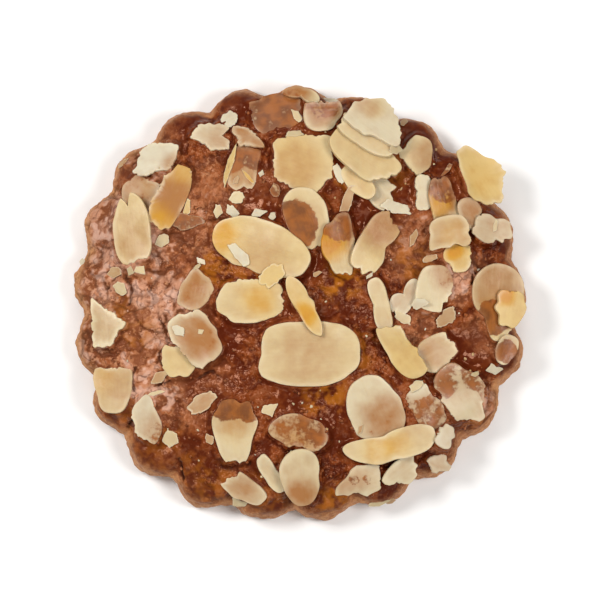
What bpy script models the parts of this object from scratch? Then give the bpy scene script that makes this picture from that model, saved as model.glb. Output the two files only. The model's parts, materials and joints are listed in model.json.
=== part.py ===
"""A round scalloped speculaas cookie, thick and slightly domed, with flaked almonds baked onto its top.

The crust is one solid, turned from a scalloped outline. Each large almond flake is a thin plate of its
own, broken where the real one snapped, and it is settled onto whatever lies below it. Metres, +Z up, with
the origin in the middle of the flat underside.
"""
import math

import bpy
import bmesh
import numpy as np
from mathutils import Matrix, Vector
from mathutils.bvhtree import BVHTree

for old in list(bpy.data.objects):
    bpy.data.objects.remove(old, do_unlink=True)

# ---------------------------------------------------------------- driving dimensions
MM = 0.001
CLEARANCE = 0.32 * MM           # gap kept under every flake

# crust outline: a circle, a little wider along X, cut with a fluted cutter
BODY_RADIUS = 48.8 * MM
OVAL = 1.06 * MM                # second harmonic, widens X and narrows Y
THREE_SIDED = 0.60 * MM
FOUR_SIDED = -0.38 * MM
BODY_SHIFT = (-0.64 * MM, 0.0)  # the body lies a little left of the flakes' own middle
LOBES = 21
LOBE_DEPTH = 2.55 * MM
FIRST_LOBE = math.radians(3.26)
LOBE_SOFTNESS = 0.13            # rounds the bottom of each valley
LOBE_SCATTER = 0.48 * MM        # how much single lobes and valleys differ
LOBE_SEED = 348734
STEPS_PER_LOBE = 8

# crust side, from the underside up: (inset from the outline, height)
SIDE = [(1.5 * MM, 0.0), (0.25 * MM, 0.9 * MM), (0.0, 2.8 * MM), (0.3 * MM, 5.6 * MM),
        (1.0 * MM, 8.0 * MM), (2.3 * MM, 9.5 * MM)]
# crust top: share of the way from the last side row to the middle
TOP_ROWS = [0.09, 0.20, 0.34, 0.52, 0.74]
DOME_HEIGHT = 15.0 * MM
DOME_POWER = 2.2
CREASE_DEPTH = 1.5 * MM         # the valleys run on as creases over the edge
CREASE_REACH = 0.17             # as a share of the radius
LUMP_HEIGHT = 0.45 * MM
LUMP_LENGTHS = [11.0 * MM, 16.0 * MM, 23.0 * MM, 34.0 * MM]

# flakes
FLAKE_THICKNESS = 1.0 * MM
MAX_LEAN = math.radians(19.0)
PROBE_SPACING = 0.55 * MM
JAG = 0.30 * MM                 # unevenness of a snapped edge
ROUND_WAVER = 0.16 * MM         # unevenness of a natural edge


# ---------------------------------------------------------------- materials
def material(name, colour, roughness):
    made = bpy.data.materials.new(name)
    made.use_nodes = True
    shader = made.node_tree.nodes["Principled BSDF"]
    shader.inputs["Base Color"].default_value = (*colour, 1.0)
    shader.inputs["Roughness"].default_value = roughness
    shader.inputs["Metallic"].default_value = 0.0
    made.diffuse_color = (*colour, 1.0)
    return made


BAKED_CRUST = material("baked_crust", (0.22, 0.065, 0.022), 0.4)
ALMOND = material("almond", (0.72, 0.57, 0.33), 0.5)


def add_object(name, mesh, made_of):
    mesh.materials.append(made_of)
    mesh.shade_smooth()
    mesh.set_sharp_from_angle(angle=math.radians(40))
    item = bpy.data.objects.new(name, mesh)
    bpy.context.scene.collection.objects.link(item)
    item.parent = COOKIE
    return item


COOKIE = bpy.data.objects.new("cookie", None)
bpy.context.scene.collection.objects.link(COOKIE)


# ---------------------------------------------------------------- crust
def smooth_step(value):
    share = np.clip(value, 0.0, 1.0)
    return share * share * (3.0 - 2.0 * share)


def lobe_wave(angle):
    """Which lobe an angle is in, and how near its crest: 1 on the crest, 0 at the bottom of the valley."""
    turns = (angle - FIRST_LOBE) * LOBES / (2.0 * math.pi)
    crest = np.sqrt(np.cos(math.pi * turns) ** 2 + LOBE_SOFTNESS ** 2)
    crest = (crest - LOBE_SOFTNESS) / (math.sqrt(1.0 + LOBE_SOFTNESS ** 2) - LOBE_SOFTNESS)
    return turns, crest


def outline(angle):
    """Smooth radius of the body, and what the lobes add to it, at each angle."""
    body = (BODY_RADIUS + OVAL * np.cos(2 * angle) + THREE_SIDED * np.cos(3 * angle)
            + FOUR_SIDED * np.cos(4 * angle))
    turns, crest = lobe_wave(angle)
    scatter = np.random.default_rng(LOBE_SEED).uniform(-1.0, 1.0, (2, LOBES)) * LOBE_SCATTER
    own_crest = scatter[0][np.round(turns).astype(int) % LOBES]
    own_valley = scatter[1][np.floor(turns).astype(int) % LOBES]
    lobes = LOBE_DEPTH * (crest - 0.6) + own_crest * crest ** 2 + own_valley * (1.0 - crest) ** 2
    return body, lobes


def lumps(x, y):
    """Low swells of the baked top: a few crossing waves of different lengths."""
    rng = np.random.default_rng(21)
    total = np.zeros_like(x)
    for length in LUMP_LENGTHS:
        for _ in range(2):
            heading, phase = rng.uniform(0.0, 2.0 * math.pi, 2)
            along = x * math.cos(heading) + y * math.sin(heading)
            total += np.sin(2.0 * math.pi * along / length + phase)
    return LUMP_HEIGHT * total / math.sqrt(2.0 * len(LUMP_LENGTHS))


def build_crust():
    count = LOBES * STEPS_PER_LOBE
    angle = np.arange(count) * 2.0 * math.pi / count
    body, lobes = outline(angle)
    crest = lobe_wave(angle)[1]
    rows = []
    for inset, height in SIDE:
        radius = body + lobes * (1.0 - 0.25 * inset / SIDE[-1][0]) - inset
        x = radius * np.cos(angle)
        y = radius * np.sin(angle)
        crease = CREASE_DEPTH * (1.0 - crest) ** 2 * smooth_step(height / SIDE[-1][1] * 2.0 - 1.0)
        rows.append(np.stack([x, y, np.full(count, height) - crease], axis=1))
    edge_height = SIDE[-1][1]
    for share in TOP_ROWS:
        radius = (body - SIDE[-1][0]) * (1.0 - share) + lobes * 0.75 * max(0.0, 1.0 - share / CREASE_REACH)
        x = radius * np.cos(angle)
        y = radius * np.sin(angle)
        height = edge_height + (DOME_HEIGHT - edge_height) * (1.0 - (1.0 - share) ** DOME_POWER)
        crease = CREASE_DEPTH * (1.0 - crest) ** 2 * max(0.0, 1.0 - share / CREASE_REACH)
        fade = smooth_step(np.array(share / 0.12))
        rows.append(np.stack([x, y, height - crease + lumps(x, y) * fade], axis=1))

    form = bmesh.new()
    rings = [[form.verts.new(point) for point in row] for row in rows]
    for low, high in zip(rings, rings[1:]):
        for i in range(count):
            after = (i + 1) % count
            form.faces.new((low[i], low[after], high[after], high[i]))
    form.faces.new(list(reversed(rings[0])))
    middle = form.verts.new((0.0, 0.0, DOME_HEIGHT + float(lumps(np.zeros(1), np.zeros(1))[0])))
    for i in range(count):
        form.faces.new((rings[-1][i], rings[-1][(i + 1) % count], middle))
    bmesh.ops.translate(form, verts=form.verts, vec=(*BODY_SHIFT, 0.0))
    mesh = bpy.data.meshes.new("crust")
    form.to_mesh(mesh)
    form.free()
    return add_object("crust", mesh, BAKED_CRUST)


# ---------------------------------------------------------------- almond flakes
# Each flake: where its middle lies (x, y), its length and width, which way its length points, and then
# only what makes it differ from an oval: square (2 is an ellipse, more is boxier), egg (wider at the
# pointed-to end), bow (its ends bend sideways), cup (its rim stands above its middle) and snaps, the
# straight breaks, each as (direction it faces, distance from the middle). Millimetres and degrees. They
# are in the order in which they fell: a later one lies on the earlier ones.
FLAKES = [
    # upper left
    dict(at=(-35.3, 24.2), size=(8.8, 7.7), turn=-25, square=2.3),
    dict(at=(-31.6, 31.2), size=(12.4, 9.6), turn=5, square=3.2,
         snaps=[(123, 3.7), (79, 3.8), (0, 4.6), (-46, 3.7), (-82, 3.1), (163, 3.95)]),
    dict(at=(-28.8, 22.6), size=(15.2, 7.3), turn=66, square=2.6, egg=0.06, cup=0.35,
         snaps=[(150, 3.5), (120, 5.4), (-100, 6.7)]),
    dict(at=(-36.7, 15.3), size=(16.6, 8.9), turn=94, square=2.1, egg=-0.08,
         snaps=[(-75, 6.9)]),
    dict(at=(-19.4, 36.2), size=(9.4, 8.4), turn=-10, square=3.0,
         snaps=[(92, 3.1), (0, 3.6), (-83, 3.5), (238, 2.85), (149, 3.95)]),
    # top
    dict(at=(-5.0, 41.4), size=(12.6, 9.6), turn=5, square=3.0,
         snaps=[(93, 3.8), (-5, 5.0), (-67, 3.3), (202, 4.5), (126, 4.8)]),
    dict(at=(0.1, 45.3), size=(8.4, 3.6), turn=-14, square=2.4, egg=0.15, bow=-0.7),
    dict(at=(4.8, 41.7), size=(8.6, 8.8), turn=0, square=2.4, snaps=[(92, 2.4)]),
    dict(at=(-12.6, 28.9), size=(10.4, 6.6), turn=82, square=3.4, snaps=[(-80, 4.6)]),
    dict(at=(-11.9, 35.9), size=(9.0, 6.2), turn=-20, square=3.0,
         snaps=[(88, 2.4), (40, 1.9), (-90, 2.5), (196, 2.6)]),
    dict(at=(0.5, 29.9), size=(14.6, 14.2), turn=0, square=3.0,
         snaps=[(94, 6.4), (0, 6.8), (-42, 6.9), (-95, 6.6), (238, 5.9), (180, 6.7)]),
    dict(at=(1.5, 17.8), size=(14.4, 9.4), turn=-70, square=2.4, egg=-0.1, snaps=[(-62, 6.7)]),
    # the heap at the upper right
    dict(at=(17.3, 23.8), size=(8.8, 6.2), turn=-50, square=3.2, snaps=[(-50, 3.9)]),
    dict(at=(12.9, 25.7), size=(9.6, 4.8), turn=-46, square=2.4),
    dict(at=(14.3, 31.1), size=(18.0, 9.2), turn=-36, square=2.6,
         snaps=[(-30, 8.2), (-75, 5.5), (62, 4.3)]),
    dict(at=(14.4, 36.2), size=(14.6, 6.4), turn=-33, square=2.7, snaps=[(150, 6.6)]),
    dict(at=(16.2, 39.6), size=(15.6, 11.6), turn=-44, square=2.6,
         snaps=[(242, 3.6), (0, 5.8), (30, 4.4), (95, 5.1), (132, 5.0)]),
    dict(at=(25.4, 32.2), size=(9.2, 7.2), turn=78, square=2.5, snaps=[(217, 2.9), (152, 2.7)]),
    dict(at=(26.9, 23.9), size=(8.0, 3.7), turn=90, square=3.4),
    dict(at=(31.1, 21.8), size=(11.6, 6.1), turn=-80, square=2.7, egg=0.05, snaps=[(97, 5.3)]),
    dict(at=(37.1, 19.4), size=(7.0, 5.4), turn=-65, square=2.4),
    dict(at=(42.2, 15.6), size=(9.6, 6.2), turn=-15, square=2.8,
         snaps=[(-78, 2.6), (0, 4.3), (185, 4.2)]),
    dict(at=(39.8, 27.4), size=(15.6, 12.6), turn=-65, square=2.6, cup=0.4,
         snaps=[(62, 4.5), (0, 4.7), (196, 4.4), (222, 5.2), (-88, 6.4)]),
    # right
    dict(at=(34.5, 9.4), size=(6.6, 6.2), turn=80, square=2.8, snaps=[(217, 2.5), (0, 2.8)]),
    dict(at=(33.0, 14.7), size=(9.4, 7.6), turn=15, square=3.2, snaps=[(-84, 3.0), (0, 4.1)]),
    dict(at=(22.8, 0.8), size=(9.2, 5.0), turn=60, square=2.5, snaps=[(-95, 3.6)]),
    dict(at=(29.1, 2.5), size=(10.8, 8.0), turn=84, square=2.4, snaps=[(-28, 3.7)]),
    dict(at=(17.5, -1.1), size=(11.9, 4.5), turn=-75, square=2.8),
    dict(at=(30.1, -11.4), size=(9.9, 7.9), turn=32, square=2.6, snaps=[(40, 4.0), (-33, 4.3)]),
    dict(at=(22.3, -10.5), size=(14.8, 7.6), turn=-57, square=2.6, snaps=[(34, 2.5), (97, 5.2)]),
    dict(at=(43.2, -0.3), size=(17.0, 11.6), turn=88, square=2.1, egg=0.30, cup=0.45,
         snaps=[(-20, 5.6)]),
    dict(at=(45.9, -1.8), size=(8.6, 7.3), turn=75, square=2.4, egg=0.1, snaps=[(100, 4.0)]),
    dict(at=(45.1, -10.6), size=(6.9, 4.7), turn=65, square=2.6),
    dict(at=(35.6, -20.4), size=(15.2, 10.4), turn=-54, square=2.7,
         snaps=[(-92, 5.9), (0, 4.9), (210, 4.9)]),
    # left
    dict(at=(-42.7, -5.3), size=(14.0, 11.0), turn=75, square=2.8,
         snaps=[(183, 3.1), (54, 2.95), (-32, 3.75), (-95, 4.9)]),
    dict(at=(-22.9, 2.2), size=(9.2, 6.9), turn=80, square=2.3),
    dict(at=(-26.9, -13.3), size=(8.4, 7.2), turn=-45, square=3.0, snaps=[(88, 3.2), (184, 3.1)]),
    dict(at=(-23.2, -8.6), size=(13.2, 11.2), turn=-50, square=2.5,
         snaps=[(228, 4.4), (-80, 5.9), (95, 6.0)]),
    dict(at=(-41.0, -19.6), size=(10.6, 8.6), turn=92, square=2.5, egg=0.1, snaps=[(93, 4.8)]),
    # lower left
    dict(at=(-33.6, -25.6), size=(11.0, 6.3), turn=-82, square=2.3),
    dict(at=(-14.2, -28.7), size=(14.6, 9.8), turn=91, square=2.6, egg=0.16, snaps=[(-86, 6.8)]),
    dict(at=(-12.6, -41.1), size=(11.4, 5.8), turn=-33, square=2.6, snaps=[(125, 3.6)]),
    dict(at=(-6.4, -38.0), size=(9.5, 3.5), turn=-57, square=2.7),
    # bottom and lower right
    dict(at=(-0.4, -28.9), size=(13.6, 7.4), turn=-12, square=2.6, snaps=[(-97, 3.5)]),
    dict(at=(0.0, -38.5), size=(13.2, 8.8), turn=95, square=2.2, egg=0.06),
    dict(at=(13.1, -39.8), size=(11.6, 6.6), turn=24, square=2.8, snaps=[(-92, 3.2), (8, 4.7)]),
    dict(at=(22.0, -37.8), size=(10.2, 5.6), turn=42, square=2.8, snaps=[(-98, 2.8), (15, 3.7)]),
    dict(at=(16.5, -23.7), size=(15.4, 11.8), turn=-62, square=2.3),
    dict(at=(27.4, -23.3), size=(10.6, 6.6), turn=-56, square=2.9),
    dict(at=(19.5, -32.2), size=(20.8, 6.8), turn=11, square=2.4, bow=1.3, egg=0.08),
    dict(at=(31.6, -29.8), size=(5.8, 4.8), turn=70, square=2.5, snaps=[(140, 2.0)]),
    dict(at=(30.5, -35.6), size=(6.4, 5.6), turn=-50, square=3.0,
         snaps=[(97, 1.9), (28, 2.0), (-60, 2.3), (205, 2.2)]),
    # middle
    dict(at=(8.3, 12.0), size=(13.6, 6.8), turn=-84, square=2.4, egg=-0.08, snaps=[(-70, 6.2)]),
    dict(at=(16.1, 12.4), size=(15.0, 7.6), turn=60, square=2.9, snaps=[(-110, 6.5), (45, 7.0)]),
    dict(at=(-8.4, 11.6), size=(22.4, 11.8), turn=-20, square=2.3, egg=-0.05),
    dict(at=(-10.8, -0.2), size=(15.6, 9.8), turn=3, square=2.7,
         snaps=[(91, 4.6), (0, 7.0), (-68, 4.8), (148, 7.0)]),
    dict(at=(1.7, -11.8), size=(22.8, 14.3), turn=1, square=2.7, snaps=[(171, 10.4)]),
    dict(at=(0.7, -1.2), size=(13.8, 4.6), turn=-61, square=1.9),
]


def flake_outline(flake, count, rng):
    """Points of the rim in the flake's own plane, its length along X."""
    half_long, half_wide = (0.5 * MM * side for side in flake["size"])
    step = np.arange(count) * 2.0 * math.pi / count
    heading = np.arctan2(half_wide * np.sin(step), half_long * np.cos(step))
    power = flake.get("square", 2.0)
    width = half_wide * (1.0 + flake.get("egg", 0.0) * np.cos(heading))
    radius = ((np.abs(np.cos(heading)) / half_long) ** power
              + (np.abs(np.sin(heading)) / width) ** power) ** (-1.0 / power)
    waver = rng.normal(0.0, 1.0, (4, 2)) / np.arange(2, 6)[:, None]
    for order, (across, along) in enumerate(waver, start=2):
        radius += ROUND_WAVER * (across * np.cos(order * heading) + along * np.sin(order * heading))
    for facing, distance in flake.get("snaps", []):
        towards = np.cos(heading - math.radians(facing - flake["turn"]))
        reach = distance * MM / np.maximum(towards, 0.05)
        broken = (towards > 0.05) & (reach < radius)
        radius = np.where(broken, reach + rng.uniform(-JAG, JAG, count), radius)
    rim = np.stack([radius * np.cos(heading), radius * np.sin(heading)], axis=1)
    rim[:, 1] += flake.get("bow", 0.0) * MM * ((rim[:, 0] / half_long) ** 2 - 0.4)
    return rim


def probe_points(rim):
    """A grid of points inside the rim, and the rim itself."""
    low = rim.min(axis=0)
    high = rim.max(axis=0)
    across = np.arange(low[0], high[0], PROBE_SPACING)
    along = np.arange(low[1], high[1], PROBE_SPACING)
    grid = np.stack(np.meshgrid(across, along), axis=-1).reshape(-1, 2)
    heading = np.arctan2(rim[:, 1], rim[:, 0])
    order = np.argsort(heading)
    reach = np.interp(np.arctan2(grid[:, 1], grid[:, 0]), heading[order],
                      np.hypot(rim[:, 0], rim[:, 1])[order], period=2.0 * math.pi)
    inside = np.hypot(grid[:, 0], grid[:, 1]) < reach
    return np.concatenate([grid[inside], rim])


def height_below(surfaces, x, y):
    """Top of whatever lies at (x, y), or None past the edge."""
    found = None
    for tree in surfaces:
        hit = tree.ray_cast(Vector((x, y, 60 * MM)), Vector((0.0, 0.0, -1.0)))[0]
        if hit is not None and (found is None or hit.z > found):
            found = hit.z
    return found


def resting_plane(points):
    """Slopes of the plane on which a flat plate comes to rest: the face of the points' convex hull that
    lies over their middle."""
    middle = points.mean(axis=0)
    hull = bmesh.new()
    for point in points - middle:
        hull.verts.new(point)
    bmesh.ops.convex_hull(hull, input=hull.verts, use_existing_faces=False)
    tree = BVHTree.FromBMesh(hull)
    hull.free()
    normal = tree.ray_cast(Vector((1e-6, 2e-6, 1.0)), Vector((0.0, 0.0, -1.0)))[1]
    if normal.z < 0.0:
        normal.negate()
    slope = np.array([-normal.x / normal.z, -normal.y / normal.z])
    lean = math.atan(float(np.hypot(*slope)))
    if lean > MAX_LEAN:
        slope *= math.tan(MAX_LEAN) / math.tan(lean)
    return slope


def build_flake(name, flake, surfaces, seed):
    rng = np.random.default_rng(seed)
    count = int(np.clip(round(flake["size"][0] * 1.5 + 8), 18, 32))
    rim = flake_outline(flake, count, rng)
    turn = math.radians(flake["turn"])
    spin = np.array([[math.cos(turn), math.sin(turn)], [-math.sin(turn), math.cos(turn)]])
    centre = np.array(flake["at"]) * MM
    cup = flake.get("cup", 0.0) * MM

    # settle: find what lies below, then the plane that rests on it
    probes = probe_points(rim * 1.02)
    ground = []
    for across, along in probes @ spin + centre:
        top = height_below(surfaces, across, along)
        if top is not None:
            ground.append((across, along, top))
    ground = np.array(ground)
    slope = resting_plane(ground)
    height = np.max(ground[:, 2] - (ground[:, :2] - centre) @ slope) + CLEARANCE

    normal = Vector((-slope[0], -slope[1], 1.0)).normalized()
    long_way = Vector((math.cos(turn), math.sin(turn), math.cos(turn) * slope[0] + math.sin(turn) * slope[1]))
    long_way.normalize()
    cross_way = normal.cross(long_way)
    turned = Matrix((long_way, cross_way, normal)).transposed()

    # the plate: rim face, extruded up, then a raised or sunk middle on both faces
    form = bmesh.new()
    plate = form.faces.new([form.verts.new((x, y, cup)) for x, y in rim])
    plate.normal_update()
    grown = bmesh.ops.extrude_face_region(form, geom=[plate], use_keep_orig=True)
    upper = [item for item in grown["geom"] if isinstance(item, bmesh.types.BMVert)]
    bmesh.ops.translate(form, verts=upper, vec=(0.0, 0.0, FLAKE_THICKNESS))
    caps = [face for face in form.faces if len(face.verts) == count]
    middles = bmesh.ops.poke(form, faces=caps)["verts"]
    for middle in middles:
        middle.co.x = 0.0
        middle.co.y = 0.0
        middle.co.z -= cup
    bmesh.ops.recalc_face_normals(form, faces=form.faces)
    mesh = bpy.data.meshes.new(name)
    form.to_mesh(mesh)
    form.free()

    item = add_object(name, mesh, ALMOND)
    item.location = (centre[0], centre[1], height)
    item.rotation_mode = "XYZ"
    item.rotation_euler = turned.to_euler()
    return item


def corners_of(item):
    placed = Matrix.LocRotScale(item.location, item.rotation_euler, item.scale)
    return [placed @ vertex.co for vertex in item.data.vertices]


def surface_of(item):
    """The item's placed surface, to drop the next flake on."""
    return BVHTree.FromPolygons(corners_of(item), [tuple(face.vertices) for face in item.data.polygons])


pieces = [build_crust()]
laid = [surface_of(pieces[0])]
for number, flake in enumerate(FLAKES, start=1):
    pieces.append(build_flake(f"flake_{number:02d}", flake, laid, 100 + number))
    laid.append(surface_of(pieces[-1]))

# the origin goes to the middle of the underside
reach = np.array([corner for piece in pieces for corner in corners_of(piece)])
middle_of_all = 0.5 * (reach.min(axis=0) + reach.max(axis=0))
COOKIE.location = (-middle_of_all[0], -middle_of_all[1], 0.0)
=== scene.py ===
import json
import math

import bpy
import numpy as np
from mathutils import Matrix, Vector
from mathutils.bvhtree import BVHTree

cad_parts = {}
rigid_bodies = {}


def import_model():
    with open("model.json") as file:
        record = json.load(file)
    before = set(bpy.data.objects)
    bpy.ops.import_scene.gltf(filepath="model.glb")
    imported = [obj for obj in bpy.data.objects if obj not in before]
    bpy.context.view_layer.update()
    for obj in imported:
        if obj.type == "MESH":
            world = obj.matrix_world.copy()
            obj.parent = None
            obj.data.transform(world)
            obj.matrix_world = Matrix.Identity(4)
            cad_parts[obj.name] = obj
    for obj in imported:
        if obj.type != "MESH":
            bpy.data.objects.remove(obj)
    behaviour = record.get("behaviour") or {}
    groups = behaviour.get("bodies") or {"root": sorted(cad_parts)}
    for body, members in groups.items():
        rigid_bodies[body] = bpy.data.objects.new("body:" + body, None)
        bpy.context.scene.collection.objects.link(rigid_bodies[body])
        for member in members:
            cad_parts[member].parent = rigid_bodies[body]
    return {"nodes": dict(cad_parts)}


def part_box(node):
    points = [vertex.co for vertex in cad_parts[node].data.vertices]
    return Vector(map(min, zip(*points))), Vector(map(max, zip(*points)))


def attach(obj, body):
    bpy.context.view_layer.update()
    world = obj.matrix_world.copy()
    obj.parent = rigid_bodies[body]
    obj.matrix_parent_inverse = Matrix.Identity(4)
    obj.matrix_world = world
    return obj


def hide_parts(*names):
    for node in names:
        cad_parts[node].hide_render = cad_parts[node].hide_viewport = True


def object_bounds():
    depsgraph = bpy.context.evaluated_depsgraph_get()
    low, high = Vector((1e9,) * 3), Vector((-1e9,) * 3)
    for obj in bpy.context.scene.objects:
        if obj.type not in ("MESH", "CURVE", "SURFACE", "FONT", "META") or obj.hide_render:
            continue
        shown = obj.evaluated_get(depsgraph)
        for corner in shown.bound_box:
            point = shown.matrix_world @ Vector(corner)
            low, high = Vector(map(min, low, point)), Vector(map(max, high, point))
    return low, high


for leftOver in list(bpy.data.objects):  # the new file's own cube, lamp and camera
    bpy.data.objects.remove(leftOver, do_unlink=True)

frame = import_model()
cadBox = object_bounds()
mm = 0.001  # lengths below are in millimetres, and become metres when a mesh is made


def hexColour(text):
    # sRGB hex to linear: each channel undone by the sRGB curve
    channels = [int(text[i:i + 2], 16) / 255 for i in (1, 3, 5)]
    linear = [c / 12.92 if c <= 0.04045 else ((c + 0.055) / 1.055) ** 2.4 for c in channels]
    return (*linear, 1.0)


def smoothStep(low, high, value):
    # 0 up to low, 1 from high, and an S between them; low may be the larger one
    share = np.clip((value - low) / (high - low), 0, 1)
    return share * share * (3 - 2 * share)


def latticeValue(x, y, z, seed):
    # one fixed random number from 0 to 1 for each whole-numbered point, its coordinates mixed bit by bit
    mixed = (x * 73856093 ^ y * 19349663 ^ z * 83492791 ^ seed * 49979687) & 0xFFFFFFFF
    mixed = ((mixed ^ (mixed >> 13)) * 1274126177) & 0xFFFFFFFF
    mixed = ((mixed ^ (mixed >> 15)) * 668265263) & 0xFFFFFFFF
    return ((mixed ^ (mixed >> 16)) & 0xFFFFFF) / 0xFFFFFF


def softNoise(points, size, seed):
    # smooth noise from -1 to 1: lattice values a size apart, blended by an S curve along each axis
    scaled = points / size
    corner = np.floor(scaled).astype(np.int64)
    part = scaled - corner
    part = part ** 3 * (part * (part * 6 - 15) + 10)
    total = np.zeros(len(points))
    for dx, dy, dz in np.ndindex(2, 2, 2):
        share = np.where([dx, dy, dz], part, 1 - part).prod(axis=1)
        total += share * latticeValue(corner[:, 0] + dx, corner[:, 1] + dy, corner[:, 2] + dz, seed)
    return total * 2 - 1


def roughNoise(points, size, seed, layers=3):
    # soft noise at one size, plus half as much at half the size, and so on
    total = sum(softNoise(points, size / 2 ** i, seed + 31 * i) / 2 ** i for i in range(layers))
    return total / (2 - 2.0 ** (1 - layers))


def pushed(points, reach, size, *seeds):
    # the points moved about by noise, along as many axes as there are seeds
    push = [roughNoise(points, size, seed) for seed in seeds]
    return points[:, :len(seeds)] + reach * np.stack(push, axis=1)


def cellNoise(points, size, seed):
    # seeds scattered one to a cell: how far the nearest is, how much further the next one is, and a number
    # of the nearest one's own
    scaled = points / size
    corner = np.floor(scaled).astype(np.int64)
    near = np.full(len(points), 9.0)
    following = np.full(len(points), 9.0)
    own = np.zeros(len(points))
    for dx, dy, dz in np.ndindex(3, 3, 3):
        x, y, z = corner[:, 0] + dx - 1, corner[:, 1] + dy - 1, corner[:, 2] + dz - 1
        reach = np.sqrt((x + latticeValue(x, y, z, seed) - scaled[:, 0]) ** 2
                        + (y + latticeValue(x, y, z, seed + 1) - scaled[:, 1]) ** 2
                        + (z + latticeValue(x, y, z, seed + 2) - scaled[:, 2]) ** 2)
        closer = reach < near
        following = np.where(closer, near, np.minimum(following, reach))
        own = np.where(closer, latticeValue(x, y, z, seed + 3), own)
        near = np.where(closer, reach, near)
    return near * size, (following - near) * size, own


def vertexNormals(points, faces):
    # each face's cross product, added up at its corners
    normals = np.zeros_like(points)
    for block in faces:
        first, second, last = (points[block[:, corner]] for corner in (0, 1, -1))
        cross = np.cross(second - first, last - first)
        for corner in range(block.shape[1]):
            for axis in range(3):
                normals[:, axis] += np.bincount(block[:, corner], cross[:, axis], len(points))
    return normals / np.maximum(np.linalg.norm(normals, axis=1, keepdims=True), 1e-12)


def smoothCurve(before, start, end, after, part):
    # a curve from start to end that also suits the points before and after them (Catmull-Rom)
    return 0.5 * (2 * start + (end - before) * part + (2 * before - 5 * start + 4 * end - after) * part ** 2
                  + (3 * start - before - 3 * end + after) * part ** 3)


def ringFaces(rows, count, start=0):
    # quads between closed rings of equal count, each ring further along than the last
    ring = np.arange(count)
    low = start + np.arange(rows - 1)[:, None] * count
    after = (ring + 1) % count
    return np.stack([low + ring, low + after, low + count + after, low + count + ring],
                    axis=-1).reshape(-1, 4)


def shellFaces(rows, count):
    # a point, rings going down and out and back, and a last point, joined into a closed shell
    ring = np.arange(count)
    after = (ring + 1) % count
    final = rows * count + 1
    return [ringFaces(rows, count, 1)[:, ::-1],
            np.stack([0 * ring, 1 + ring, 1 + after], axis=-1),
            np.stack([0 * ring + final, final - count + after, final - count + ring], axis=-1)]


def treeOf(points, faces):
    # what rays are cast at to find the ground
    return BVHTree.FromPolygons(points.tolist(), [face for block in faces for face in block.tolist()])


def makePiece(name, points, faces, finish, masks, standsFor=(), crease=None):
    # faces is a list of blocks, each an array of equal-sided faces; masks are numbers or vectors kept on
    # the vertices; crease is the angle in degrees above which an edge stays sharp
    mesh = bpy.data.meshes.new(name)
    corners = np.concatenate([block.ravel() for block in faces]).astype(np.int32)
    sides = np.concatenate([np.full(len(block), block.shape[1]) for block in faces])
    mesh.vertices.add(len(points))
    mesh.vertices.foreach_set("co", (points * mm).astype(np.float32).ravel())
    mesh.loops.add(len(corners))
    mesh.loops.foreach_set("vertex_index", corners)
    mesh.polygons.add(len(sides))
    mesh.polygons.foreach_set("loop_start", (np.cumsum(sides) - sides).astype(np.int32))
    mesh.update(calc_edges=True)
    mesh.shade_smooth()
    if crease:
        mesh.set_sharp_from_angle(angle=math.radians(crease))
    for mask, values in masks.items():
        values = np.asarray(values, np.float32)
        layer = mesh.attributes.new(mask, "FLOAT" if values.ndim == 1 else "FLOAT_VECTOR", "POINT")
        layer.data.foreach_set("value" if values.ndim == 1 else "vector", values.ravel())
    mesh.materials.append(finish)
    piece = bpy.data.objects.new(name, mesh)
    bpy.context.scene.collection.objects.link(piece)
    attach(piece, "root")
    if standsFor:
        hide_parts(*standsFor)


def addNode(tree, kind, values=None, **settings):
    # one node with its settings; each value is a number, a colour, or an earlier node or output to link
    node = tree.nodes.new(kind)
    for setting, value in settings.items():
        setattr(node, setting, value)
    for socket, value in (values or {}).items():
        if isinstance(value, bpy.types.Node):
            value = next(output for output in value.outputs if output.enabled)
        if isinstance(value, bpy.types.NodeSocket):
            tree.links.new(value, node.inputs[socket])
        else:
            node.inputs[socket].default_value = value
    return node


def newMaterial(name):
    material = bpy.data.materials.new(name)
    material.use_nodes = True
    material.node_tree.nodes.clear()
    return material, material.node_tree


eased = {"interpolation_type": "SMOOTHSTEP"}  # of a map range, whose ranges are its inputs 1 to 4
inColour = {"data_type": "RGBA"}  # of a mix, whose share is its input 0 and whose two colours are 6 and 7

crustFinish = {
    "gapShade": "#3f1408",  # dark gaps between the crumbs, also used as painted shade in the hollows, beside the flakes and on the shoulder
    "redBrown": "#521c09",  # the wash on smooth dough
    "midBrown": "#7d3a15",  # and on what stands up, where its extra lightness is partly painted light
    "crumb": "#bd8661",  # dry crumb on the high spots, partly painted glints
    "dryDough": "#ae6b42",  # where the wash dried thin
    "filmAndSheen": "#bd8a6f",  # dried egg film, its pinkish colour partly a painted sheen
    "paleFilmSheen": "#cfa996",  # a painted highlight where the film dried thickest
    "golden": "#9d5a14",  # sugar that melted
    "glaze": "#521c0a",  # where the wash pooled
    "crack": "#2c0f07",
    "side": "#c18a5c", "sideDark": "#a26843",  # bare crumb, and its hollows, darker there partly as painted shade
    "sheen": "#ffc19f",  # the glint of the wash
    "broadMm": 5.0, "middleMm": 2.2, "fineMm": 0.9, "gritMm": 0.4,
    "plateMm": 3.4, "bendMm": 2.2,  # the dry film's crazing, coarser than the crumb under it
    "roughness": 0.25, "reliefMm": 0.8,
}


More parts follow.
